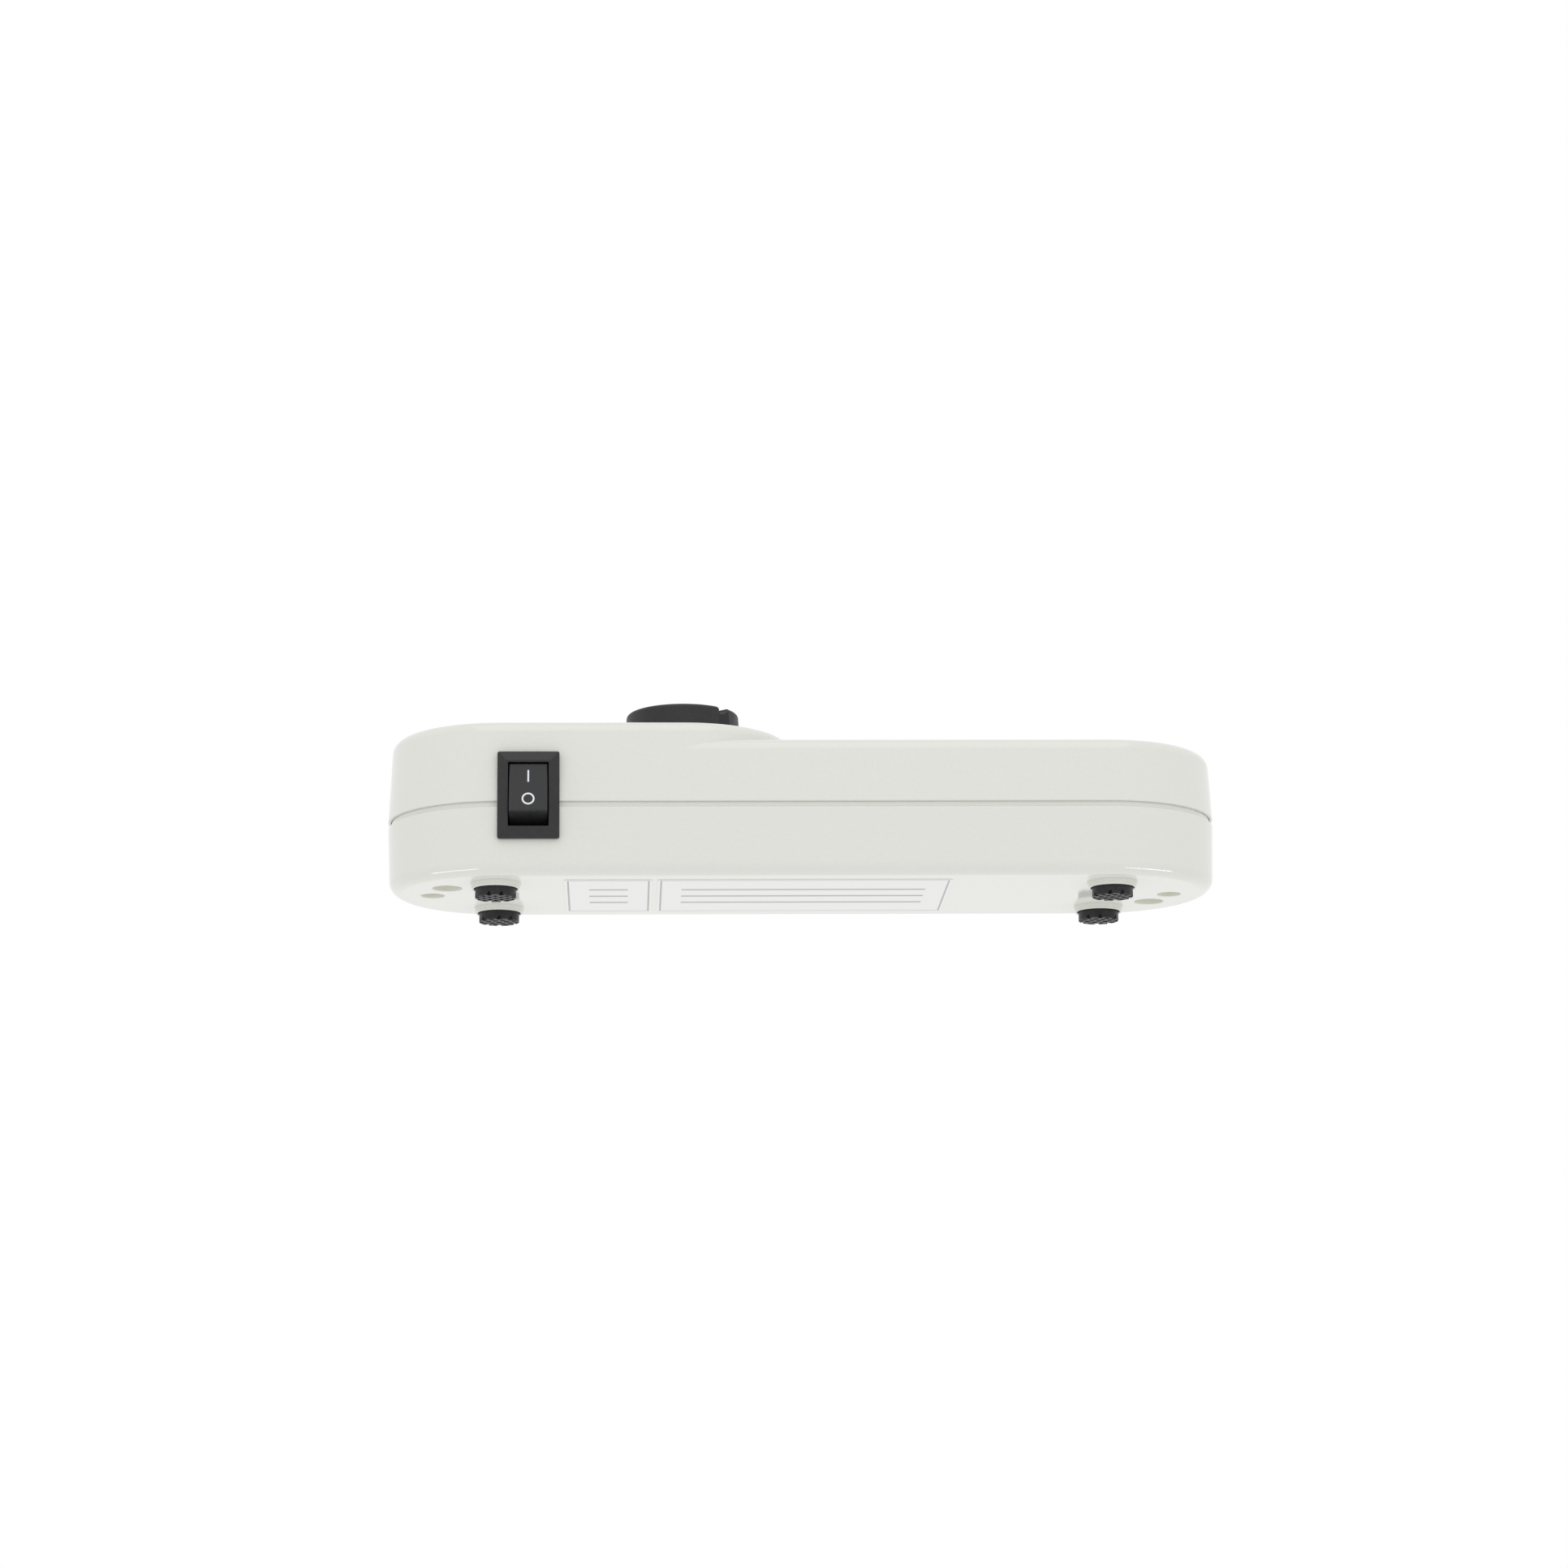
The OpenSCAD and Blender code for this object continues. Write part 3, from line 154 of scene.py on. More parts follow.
class FittingSizes(bpy.types.PropertyGroup):
    """Sizes of the feet's seats, the screw wells and the openings."""

    collar_d: length_value("Collar", "Diameter of a foot's collar", 11.8)
    collar_step: length_value("Collar step", "Extra radius at the collar's root", 0.25)
    step_h: length_value("Step height", "Height of the collar's root", 0.7)
    recess_d: length_value("Recess", "Diameter of a foot's recess", 10.7)
    case_well_d: length_value("Case well", "Diameter of a case screw's well", 7.3)
    end_well_d: length_value("End well", "Diameter of an end screw's well", 5.9)
    mouth: length_value("Mouth", "Chamfer round a well or recess", 0.15)
    cutout_w: length_value("Cut-out width", "Width of the switch's cut-out", 13.0)
    cutout_h: length_value("Cut-out height", "Height of the switch's cut-out", 19.2)
    rear_gap: length_value("Rear gap", "Room round the sockets in the rear wall", 0.2)
    bush_hole_d: length_value("Bush hole", "Diameter of the hole under the knob", 7.2)
    tower_t: length_value("Tower wall", "Wall of a screw's tower and boss", 1.8)
    seat_t: length_value("Seat", "Thickness under a screw's head", 2.5)
    shank_gap: length_value("Shank gap", "Room round a screw's shank", 0.05)
    stand_d: length_value("Stand", "Diameter of the board's stands", 6.0)
    stand_bore_d: length_value("Stand bore", "Bore of the board's stands", 2.7)


class KnobSizes(bpy.types.PropertyGroup):
    """Sizes of the gain knob."""

    diameter: length_value("Diameter", "Diameter at the base", 28.6)
    draft: angle_value("Draft", "Lean of the knob's side", 3.3)
    edge: length_value("Edge", "Round along the top edge", 1.0)
    scoop_r: length_value("Scoop radius", "Radius of the pointer's scoop", 2.1)
    scoop_depth: length_value("Scoop depth", "Depth of the scoop in the top", 1.6)
    scoop_l: length_value("Scoop length", "Length of the scoop from the rim", 8.0)
    flute_depth: length_value("Flute depth", "Depth of the flute in the side", 1.4)
    pointer: angle_value("Pointer", "Direction of the pointer from the front towards +X", 47.0)
    hollow_d: length_value("Hollow", "Diameter of the hollow below", 18.0)
    hollow_h: length_value("Hollow height", "Height of the hollow below", 3.2)
    bore_d: length_value("Bore", "Diameter of the shaft's bore", 6.1)
    bore_h: length_value("Bore height", "Height of the shaft's bore", 5.6)


class SwitchSizes(bpy.types.PropertyGroup):
    """Sizes of the rocker switch."""

    bezel_w: length_value("Bezel width", "Width of the bezel", 15.0)
    bezel_h: length_value("Bezel height", "Height of the bezel", 21.5)
    bezel_edge: length_value("Bezel edge", "Thickness of the bezel at its outer edge", 0.9)
    bezel_proud: length_value("Bezel proud", "Height of the bezel's inner edge", 2.0)
    housing_w: length_value("Housing width", "Width of the housing", 12.8)
    housing_h: length_value("Housing height", "Height of the housing", 19.0)
    opening_w: length_value("Opening width", "Width of the opening", 9.8)
    opening_h: length_value("Opening height", "Height of the opening", 15.8)
    rim: length_value("Rim", "Flat rim round the opening", 0.5)
    floor_t: length_value("Floor", "Thickness of the housing's floor", 1.5)
    rocker_w: length_value("Rocker width", "Width of the rocker", 9.3)
    rocker_face: length_value("Rocker face", "Length of the rocker's face", 12.4)
    rocker_reach: length_value("Rocker reach", "Length of the rocker at its widest", 15.0)
    face_out: length_value("Face", "Distance from the pivot to the rocker's face", 7.5)
    skirt_out: length_value("Skirt", "Distance from the pivot to the rocker's lower edge", 0.8)
    tilt: angle_value("Tilt", "Tilt of the rocker at rest", 12.0)
    trunnion_d: length_value("Trunnion", "Diameter of the trunnions", 3.0)
    trunnion_span: length_value("Trunnion span", "Length over both trunnions", 12.2)
    stem_d: length_value("Stem", "Diameter of the stem behind the rocker", 4.2)
    stem_bore_d: length_value("Stem bore", "Diameter of the plunger's bore", 2.5)
    stem_l: length_value("Stem length", "Reach of the stem behind the pivot", 5.0)
    edge: length_value("Edge", "Round along the switch's edges", 0.22)
    corner: length_value("Corner", "Round of the bezel's outer corners", 0.45)
    print_t: length_value("Print", "Thickness of the marks' ink", 0.05)
    stroke: length_value("Stroke", "Width of the marks' strokes", 0.4)
    mark_h: length_value("Mark height", "Height of a mark", 3.1)
    bar_up: length_value("Bar height", "Distance of the bar above the pivot", 2.85)
    ring_down: length_value("Ring depth", "Distance of the ring below the pivot", 3.15)


class SpringSizes(bpy.types.PropertyGroup):
    """Sizes of the spring behind the switch's plunger."""

    wire: length_value("Wire", "Diameter of the wire", 0.3)
    coil_d: length_value("Coil", "Diameter at the middle of the wire", 2.1)
    start: length_value("Start", "Distance from the pivot to the first turn", 0.7)
    length: length_value("Length", "Length of the spring", 2.4)
    turns: IntProperty(name="Turns", description="Turns of the spring", default=3, min=1)


class SmallSizes(bpy.types.PropertyGroup):
    """Sizes of the feet, screws and labels."""

    foot_edge: length_value("Foot edge", "Round along a foot's edges", 0.12)
    ridge_pitch: length_value("Ridge pitch", "Spacing of a foot's ridges", 2.0)
    ridge_w: length_value("Ridge", "Width of a ridge at its crest", 0.6)
    foot_turn: angle_value("Foot turn", "Turn of the rear feet's ridges", 20.0)
    pit_depth: length_value("Pit depth", "Depth of the pits between the ridges", 0.9)
    case_shank_d: length_value("Case shank", "Diameter of a case screw's shank", 3.5)
    end_shank_d: length_value("End shank", "Diameter of an end screw's shank", 2.9)
    case_head_h: length_value("Case head", "Height of a case screw's head", 2.6)
    end_head_h: length_value("End head", "Height of an end screw's head", 2.2)
    slot_w: length_value("Cross slot", "Width of a screw's cross slot", 0.9)
    label_corner: length_value("Label corner", "Round of a label's corners", 1.0)
    border_in: length_value("Border inset", "Distance of a label's border from its edge", 0.9)
    border_w: length_value("Border", "Width of a label's border line", 0.45)
    bar_in: length_value("Bar inset", "Distance of a label's bars from its edge", 6.0)
    bar_pitch: length_value("Bar pitch", "Spacing of a label's bars", 8.0)
    bar_w: length_value("Bar", "Width of a label's bars", 1.6)


class SocketSizes(bpy.types.PropertyGroup):
    """Sizes of the sockets in the rear wall."""

    barrel_d: length_value("Barrel", "Outer diameter of a coaxial socket", 12.0)
    bore_d: length_value("Bore", "Bore of a coaxial socket", 9.6)
    back_d: length_value("Back hole", "Hole through the back of a socket's block", 6.0)
    block_d: length_value("Block", "Depth of a socket's block", 12.2)
    block_h: length_value("Block height", "Height of a socket's block", 15.0)
    depth: length_value("Depth", "Depth of the bore in front of the insulator", 10.5)
    insulator_t: length_value("Insulator", "Thickness of the insulator", 2.5)
    contact_d: length_value("Contact", "Outer diameter of the centre contact", 3.6)
    contact_bore_d: length_value("Contact bore", "Bore of the centre contact", 2.4)
    contact_in: length_value("Contact depth", "Distance of the contact from the mouth", 1.6)
    contact_tail: length_value("Contact tail", "Length of the contact behind the insulator", 3.0)
    slit_w: length_value("Slit", "Width of the slits in the contact", 0.3)
    fit: length_value("Fit", "Room between contact, insulator and barrel", 0.05)
    inlet_bore_d: length_value("Inlet bore", "Bore of the power socket", 6.3)
    inlet_depth: length_value("Inlet depth", "Depth of the power socket's bore", 10.0)
    edge: length_value("Edge", "Round along the sockets' edges", 0.3)


class FinishColours(bpy.types.PropertyGroup):
    """Colours of the surfaces that show."""

    case: colour_value("Case", "Off-white of the shells", "#e6e7e0")
    # Painted light: the paler, warmer white painted on the screw wells' walls, for light through the thin walls.
    well: colour_value("Well", "Warm white of the thin walls round the screw wells", "#f9f9ec")
    knob: colour_value("Knob", "Dark grey of the knob", "#2c2c2d")
    switch: colour_value("Switch", "Near black of the switch", "#2a2a2b")
    feet: colour_value("Feet", "Dark grey of the feet", "#242425")
    label: colour_value("Label", "White of the labels", "#eeeeed")
    ruling: colour_value("Ruling", "Grey of the labels' ruling", "#a4a5a3")
    print: colour_value("Print", "White of the switch's marks", "#eff4fb")


class StageSizes(bpy.types.PropertyGroup):
    """Light, floor and camera."""

    azimuth: angle_value("Azimuth", "Direction of the camera round the case", -2.30)
    elevation: angle_value("Elevation", "Height of the camera above the horizon", -12.66)
    roll: angle_value("Roll", "Roll of the camera", -0.57)
    distance: length_value("Distance", "Distance of the camera from its target", 1052.2)
    lens: FloatProperty(name="Lens", description="Focal length in millimetres", default=96.87)
    floor: length_value("Floor", "Width of the floor", 12000.0)
    sky: FloatProperty(name="Sky", description="Strength of the light from all round", default=0.83)
    key: power_value("Key lamp", "Power of the lamp above the front", 2.0)
    side: power_value("Side lamps", "Power of each lamp beside the case", 0.2)
    back: power_value("Back lamp", "Power of the lamp below the back", 1.3)
    panel: power_value("Panel", "Power of the panel mirrored from above", 2.4)
    strip: power_value("Strip lamps", "Power of each strip lamp below", 2.4)


GROUPS = {
    "amp_case": CaseSizes,
    "amp_fittings": FittingSizes,
    "amp_knob": KnobSizes,
    "amp_switch": SwitchSizes,
    "amp_spring": SpringSizes,
    "amp_small": SmallSizes,
    "amp_sockets": SocketSizes,
    "amp_colours": FinishColours,
    "amp_stage": StageSizes,
}


# Modelling helpers

def deselect():
    """Leaves nothing selected, the packed nodes included."""
    bpy.ops.object.select_all(action="DESELECT")


def activate(piece):
    """Makes a piece the only one selected."""
    deselect()
    piece.select_set(True)
    bpy.context.view_layer.objects.active = piece


def edit(piece, kind="VERT"):
    """Opens a piece in edit mode with all of it selected."""
    activate(piece)
    bpy.ops.object.mode_set(mode="EDIT")
    bpy.ops.mesh.select_mode(type=kind)
    bpy.ops.mesh.select_all(action="SELECT")


def done():
    """Leaves edit mode."""
    bpy.ops.object.mode_set(mode="OBJECT")


def settle():
    """Leaves the active piece's object at the origin, with its place in its mesh."""
    bpy.ops.object.transform_apply(location=True, rotation=True, scale=True)


def extrude(*move):
    """Extrudes what is selected in edit mode and moves it."""
    bpy.ops.mesh.extrude_region_move(TRANSFORM_OT_translate={"value": move})


def turn_outwards():
    """Turns all faces of the open mesh outwards."""
    bpy.ops.mesh.select_all(action="SELECT")
    bpy.ops.mesh.normals_make_consistent(inside=False)


def opened(piece):
    """The open mesh with nothing in it selected."""
    mesh = bmesh.from_edit_mesh(piece.data)
    for part in (*mesh.verts, *mesh.edges, *mesh.faces):
        part.select = False
    return mesh


def pick_verts(piece, test):
    """Selects the open mesh's vertices whose place passes the test."""
    mesh = bmesh.from_edit_mesh(piece.data)
    for vert in mesh.verts:
        vert.select = bool(test(vert.co))
    mesh.select_flush_mode()
    bmesh.update_edit_mesh(piece.data)


def pick_faces(piece, test):
    """Selects the open mesh's faces whose centre and normal pass the test."""
    mesh = opened(piece)
    for face in mesh.faces:
        if test(face.calc_center_median(), face.normal):
            face.select_set(True)
    bmesh.update_edit_mesh(piece.data)


def pick_edges(piece, test):
    """Selects the open mesh's edges whose two ends pass the test."""
    bpy.ops.mesh.select_mode(type="EDGE")
    mesh = opened(piece)
    for line in mesh.edges:
        if test(line.verts[0].co, line.verts[1].co):
            line.select_set(True)
    bmesh.update_edit_mesh(piece.data)


def put(piece, matrix):
    """Moves a piece to its place and leaves its object at the origin."""
    activate(piece)
    piece.matrix_world = matrix
    settle()
    return piece


def along_y(place):
    """Matrix that lays a turned piece's axis along +Y at a place."""
    return Matrix.Translation(place) @ Matrix.Rotation(math.radians(-90), 4, "X")


def along_x(place):
    """Matrix that lays a turned piece's axis along +X at a place."""
    return Matrix.Translation(place) @ Matrix.Rotation(math.radians(90), 4, "Y")


def arc(centre, radius, start, end, steps=8):
    """Outline points of an arc between two angles, in degrees from the outward direction."""
    turns = [math.radians(start + (end - start) * i / steps) for i in range(steps + 1)]
    return [(centre[0] + radius * math.cos(t), centre[1] + radius * math.sin(t)) for t in turns]


def turned(name, outline, segments=64):
    """Turned solid: a disc that is extruded and resized along its outline of (radius, height) points."""
    radius, height = outline[0]
    deselect()
    bpy.ops.mesh.primitive_circle_add(vertices=segments, radius=radius, fill_type="NGON",
                                      location=(0, 0, height), rotation=(0, 0, math.pi / segments))
    piece = bpy.context.object
    piece.name = name
    settle()
    edit(piece, "FACE")
    for next_radius, next_height in outline[1:]:
        extrude(0, 0, next_height - height)
        grow = next_radius / radius
        bpy.ops.transform.resize(value=(grow, grow, 1), center_override=(0, 0, next_height))
        radius, height = next_radius, next_height
    turn_outwards()
    done()
    return piece


def stretched(piece, left, right):
    """Pulls a turned solid's halves apart, to a stadium between two centres along X."""
    edit(piece)
    pick_verts(piece, lambda co: co.x < 0)
    bpy.ops.transform.translate(value=(left, 0, 0))
    pick_verts(piece, lambda co: co.x > 0)
    bpy.ops.transform.translate(value=(right, 0, 0))
    done()
    return piece


def block(name, low, high):
    """Box between two corners."""
    low, high = Vector(low), Vector(high)
    deselect()
    bpy.ops.mesh.primitive_cube_add(size=1, location=(low + high) / 2, scale=high - low)
    piece = bpy.context.object
    piece.name = name
    settle()
    return piece


def copied(piece, name, move=(0, 0, 0)):
    """Copy of a piece with its own mesh, moved to its place."""
    activate(piece)
    bpy.ops.object.duplicate(linked=False)
    copy = bpy.context.object
    copy.name = name
    return put(copy, Matrix.Translation(move))


def joined(pieces):
    """One object of several that don't touch."""
    deselect()
    for piece in pieces:
        piece.select_set(True)
    bpy.context.view_layer.objects.active = pieces[0]
    bpy.ops.object.join()
    return bpy.context.object


def cut(piece, tool, how="DIFFERENCE"):
    """Cuts a piece with a tool, or adds the tool to it, and takes the tool away."""
    activate(piece)
    modifier = piece.modifiers.new("cut", "BOOLEAN")
    modifier.object = tool
    modifier.operation = how
    modifier.solver = "EXACT"
    bpy.ops.object.modifier_apply(modifier=modifier.name)
    bpy.data.objects.remove(tool)
    return piece


def cleaned(piece, reach=0.002 * MM):
    """Merges a cut mesh's doubled points and turns its faces outwards."""
    edit(piece)
    bpy.ops.mesh.remove_doubles(threshold=reach)
    bpy.ops.mesh.dissolve_degenerate(threshold=reach)
    turn_outwards()
    done()
    return piece


def rounded(piece, width, steps=2, angle=30):
    """Rounds a piece's sharp edges."""
    activate(piece)
    modifier = piece.modifiers.new("edge", "BEVEL")
    modifier.width = width
    modifier.segments = steps
    modifier.limit_method = "ANGLE"
    modifier.angle_limit = math.radians(angle)
    modifier.use_clamp_overlap = True
    bpy.ops.object.modifier_apply(modifier=modifier.name)
    return piece


def fitted(piece, body, *nodes, angle=30, material=None):
    """Smooths a finished piece, gives it its finish and lets it ride for the nodes that it stands for."""
    activate(piece)
    bpy.ops.object.shade_smooth_by_angle(angle=math.radians(angle))
    modifier = piece.modifiers.new("normals", "WEIGHTED_NORMAL")
    modifier.keep_sharp = True
    modifier.weight = 80
    bpy.ops.object.modifier_apply(modifier=modifier.name)
    slot = SLOT_OF[nodes[0]]
    piece.data.materials.clear()
    piece.data.materials.append(material or finish(slot))
    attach(piece, body)
    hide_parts(*nodes)
    return piece


# Materials

def add_node(tree, kind, values=(), links=(), **settings):
    """Adds a node with its settings, its sockets' values and its links."""
    node = tree.nodes.new(kind)
    for key, value in settings.items():
        setattr(node, key, value)
    for socket, value in dict(values).items():
        node.inputs[socket].default_value = value
    for socket, source in dict(links).items():
        tree.links.new(source, node.inputs[socket])
    return node


def shade(colour, factor):
    """A colour made lighter or darker."""
    return tuple(min(1.0, c * factor) for c in colour)


def surface(name, colour, shades, roughness, blotch, grain, depth,
            ior=1.5, metallic=0.0, gloss=0.5, stretch=(1, 1, 1)):
    """Material whose blotches vary its shade and polish, with a finer grain raised on it, in millimetres."""
    material = bpy.data.materials.new(name)
    material.use_nodes = True
    tree = material.node_tree
    shader = tree.nodes["Principled BSDF"]
    shader.inputs["IOR"].default_value = ior
    shader.inputs["Metallic"].default_value = metallic
    shader.inputs["Specular IOR Level"].default_value = gloss
    place = add_node(tree, "ShaderNodeTexCoord").outputs["Object"]
    laid = add_node(tree, "ShaderNodeMapping", {"Scale": stretch}, {"Vector": place}).outputs[0]
    mottle = add_node(tree, "ShaderNodeTexNoise", {"Scale": 1 / (blotch * MM)}, {"Vector": laid})
    share = add_node(tree, "ShaderNodeMapRange", {"From Min": MOTTLE_LOW, "From Max": MOTTLE_HIGH},
                     {"Value": mottle.outputs["Fac"]}).outputs[0]
    dark, light = ((*shade(colour, factor), 1) for factor in shades)
    tint = add_node(tree, "ShaderNodeMix", {MIX_A: dark, MIX_B: light}, {MIX_FACTOR: share}, data_type="RGBA")
    polish = add_node(tree, "ShaderNodeMapRange", {"To Min": roughness[0], "To Max": roughness[1]},
                      {"Value": share})
    pits = add_node(tree, "ShaderNodeTexNoise", {"Scale": 1 / (grain * MM)}, {"Vector": laid})
    relief = add_node(tree, "ShaderNodeBump", {"Distance": depth * MM}, {"Height": pits.outputs["Fac"]})
    tree.links.new(tint.outputs[MIX_RESULT], shader.inputs["Base Color"])
    tree.links.new(polish.outputs[0], shader.inputs["Roughness"])
    tree.links.new(relief.outputs[0], shader.inputs["Normal"])
    return material


def moulded_abs():
    """Polished moulded ABS."""
    # Off-white and glossy, so that the feet mirror in it at a low angle, with a trace of mould grain.
    # Painted light: the screw wells' walls are painted paler and warmer, for light through the thin walls.
    colours = bpy.context.scene.amp_colours
    material = surface("moulded ABS off-white", tuple(colours.case), shades=(0.99, 1.01),
                       roughness=(0.08, 0.13), blotch=0.8, grain=2.5, depth=0.003, ior=1.53)
    tree = material.node_tree
    colour = tree.nodes["Principled BSDF"].inputs["Base Color"]
    # Mask of the screw wells' walls, where the painted light is mixed into the colour.
    thin = add_node(tree, "ShaderNodeAttribute", attribute_name=WELL_LIGHT_MASK).outputs["Fac"]
    paler = add_node(tree, "ShaderNodeMix", {MIX_B: (*colours.well, 1)},
                     {MIX_FACTOR: thin, MIX_A: colour.links[0].from_socket}, data_type="RGBA")
    tree.links.new(paler.outputs[MIX_RESULT], colour)
    return material


def textured_abs():
    """Spark-textured ABS."""
    # Dark grey with a dull sheen. The mould's fine pits, drawn coarser than they are, break up highlights.
    colour = tuple(bpy.context.scene.amp_colours.knob)
    return surface("textured ABS dark grey", colour, shades=(0.85, 1.15), roughness=(0.44, 0.56),
                   blotch=1.6, grain=0.5, depth=0.015, ior=1.53, gloss=0.28)


def moulded_nylon():
    """Moulded nylon."""
    # Near black with a waxy sheen and a faint grain.
    colour = tuple(bpy.context.scene.amp_colours.switch)
    return surface("moulded nylon black", colour, shades=(0.88, 1.12), roughness=(0.34, 0.46),
                   blotch=1.2, grain=0.5, depth=0.01, ior=1.53, gloss=0.3)


def moulded_rubber():
    """Moulded rubber."""
    # Dark grey and dull from the front; the ridges' flat crests shine at a low angle, with dusty blotches.
    colour = tuple(bpy.context.scene.amp_colours.feet)
    return surface("moulded rubber dark grey", colour, shades=(0.7, 1.4), roughness=(0.34, 0.46),
                   blotch=0.9, grain=0.4, depth=0.012, ior=1.52, gloss=0.28)


def zinc_plate():
    """Zinc-plated steel."""
    # Cool grey metal with a cloudy passivated skin.
    return surface("zinc-plated steel", linear("#b9bdc0"), shades=(0.8, 1.0), roughness=(0.26, 0.44),
                   blotch=1.2, grain=0.4, depth=0.004, metallic=1.0)


def rolled_brass():
    """Rolled brass strip."""
    # Warm yellow metal with fine rolling lines along its length.
    return surface("rolled brass", linear("#c7a24f"), shades=(0.84, 1.0), roughness=(0.22, 0.38),
                   blotch=0.25, grain=0.2, depth=0.003, metallic=1.0, stretch=(0.06, 1, 1))


def nickel_plate():
    """Nickel plate on turned brass."""
    # Warm silver with fine rings left by the lathe.
    return surface("nickel plate", linear("#b4b1ab"), shades=(0.9, 1.0), roughness=(0.14, 0.24),
                   blotch=0.3, grain=0.25, depth=0.002, metallic=1.0, stretch=(0.05, 1, 0.05))


def tinned_sheet():
    """Tinned steel sheet."""
    # Grey metal with the faint cloudy spangle of hot-dipped tin.
    return surface("tinned steel sheet", linear("#c4c6c4"), shades=(0.84, 1.0), roughness=(0.24, 0.42),
                   blotch=2.2, grain=0.8, depth=0.006, metallic=1.0)


def natural_polythene():
    """Natural polythene."""
    # Milky white with a waxy skin.
    return surface("natural polythene", linear("#e6e5de"), shades=(0.95, 1.0), roughness=(0.36, 0.5),
                   blotch=1.5, grain=0.6, depth=0.006, ior=1.51)


def pressed_phenolic():
    """Pressed phenolic paper."""
    # Brown board with streaky paper fibres.
    return surface("pressed phenolic paper", linear("#7a4c29"), shades=(0.7, 1.2), roughness=(0.44, 0.58),
                   blotch=0.5, grain=0.3, depth=0.01, ior=1.6, stretch=(1, 0.15, 1))


def resist_laminate():
    """Glass-epoxy laminate under solder resist."""
    # Green lacquer with a soft gloss over a fine glass weave.
    return surface("solder-resist laminate", linear("#245f3d"), shades=(0.85, 1.15), roughness=(0.24, 0.36),
                   blotch=5.0, grain=0.8, depth=0.008, ior=1.55)


def moulded_epoxy():
    """Moulded epoxy of the board's parts."""
    # Black with a fine matt grain.
    return surface("moulded epoxy black", linear("#1e1e20"), shades=(0.8, 1.2), roughness=(0.48, 0.62),
                   blotch=1.0, grain=0.25, depth=0.01, ior=1.55)


def shrunk_sleeve():
    """Shrunk PVC sleeve of a capacitor."""
    # Dark blue film, glossy with faint shrink marks.
    return surface("shrunk PVC sleeve", linear("#2a3a63"), shades=(0.85, 1.1), roughness=(0.18, 0.34),
                   blotch=1.5, grain=1.0, depth=0.01, ior=1.53)


def drawn_pvc(name, code):
    """Drawn PVC insulation of a wire."""
    # Bright colour with a soft gloss and faint drawing lines.
    return surface(name, linear(code), shades=(0.85, 1.1), roughness=(0.3, 0.46),
                   blotch=0.8, grain=0.4, depth=0.006, ior=1.53)


def pad_print():
    """Pad-printed ink."""
    # Cool white ink with slightly thin patches.
    colour = tuple(bpy.context.scene.amp_colours.print)
    return surface("pad-printed ink white", colour, shades=(0.92, 1.0), roughness=(0.44, 0.54),
                   blotch=0.4, grain=0.2, depth=0.003)


def coated_paper(name, low, high):
    """Coated label paper with a plain grey border line and printed bars."""
    # White with a silky gloss and a trace of fibre; the border line and the bars are pale grey.
    colours, small = bpy.context.scene.amp_colours, bpy.context.scene.amp_small
    material = surface(name, tuple(colours.label), shades=(0.985, 1.005), roughness=(0.28, 0.34),
                       blotch=1.2, grain=1.5, depth=0.0005)
    tree = material.node_tree
    shader = tree.nodes["Principled BSDF"]
    place = add_node(tree, "ShaderNodeTexCoord").outputs["Object"]
    middle, half = (low + high) / 2, (high - low) / 2
    centred = add_node(tree, "ShaderNodeVectorMath", {1: middle}, {0: place}, operation="SUBTRACT").outputs[0]
    spread = add_node(tree, "ShaderNodeVectorMath", links={0: centred}, operation="ABSOLUTE").outputs[0]
    past_edge = add_node(tree, "ShaderNodeVectorMath", {1: half}, {0: spread}, operation="SUBTRACT")
    sides = add_node(tree, "ShaderNodeSeparateXYZ", links={0: past_edge.outputs[0]})
    inside = add_node(tree, "ShaderNodeMath", links={0: sides.outputs[0], 1: sides.outputs[1]},
                      operation="MAXIMUM").outputs[0]
    border = add_node(tree, "ShaderNodeMath", {1: -small.border_in, 2: small.border_w / 2}, {0: inside},
                      operation="COMPARE").outputs[0]
    across = add_node(tree, "ShaderNodeSeparateXYZ", links={0: centred}).outputs[1]
    row = add_node(tree, "ShaderNodeMath", {1: small.bar_pitch / 2}, {0: across}, operation="PINGPONG")
    lines = add_node(tree, "ShaderNodeMath", {1: small.bar_w / 2}, {0: row.outputs[0]}, operation="LESS_THAN")
    field = add_node(tree, "ShaderNodeMath", {1: -small.bar_in}, {0: inside}, operation="LESS_THAN")
    bars = add_node(tree, "ShaderNodeMath", links={0: lines.outputs[0], 1: field.outputs[0]},
                    operation="MULTIPLY").outputs[0]
    printed = add_node(tree, "ShaderNodeMath", links={0: border, 1: bars}, operation="MAXIMUM").outputs[0]
    paper = shader.inputs["Base Color"].links[0].from_socket
    ink = add_node(tree, "ShaderNodeMix", {MIX_B: (*colours.ruling, 1)}, {MIX_FACTOR: printed, MIX_A: paper},
                   data_type="RGBA")
    tree.links.new(ink.outputs[MIX_RESULT], shader.inputs["Base Color"])
    return material


FINISHES = {
    "shell_plastic": moulded_abs,
    "foot_rubber": moulded_rubber,
    "screw_steel": zinc_plate,
    "knob_plastic": textured_abs,
    "contact_brass": rolled_brass,
    "phenolic": pressed_phenolic,
    "switch_plastic": moulded_nylon,
    "print_white": pad_print,
    "wire_red": lambda: drawn_pvc("drawn PVC red", "#b03a34"),
    "wire_blue": lambda: drawn_pvc("drawn PVC blue", "#3c5fa0"),
    "board_laminate": resist_laminate,
    "tinned_steel": tinned_sheet,
    "component_black": moulded_epoxy,
    "capacitor_sleeve": shrunk_sleeve,
    "socket_nickel": nickel_plate,
    "insulator_plastic": natural_polythene,
}
made_finishes = {}


def finish(slot):
    """The material of a slot, made once."""
    if slot not in made_finishes:
        made_finishes[slot] = FINISHES[slot]()
    return made_finishes[slot]


# Case

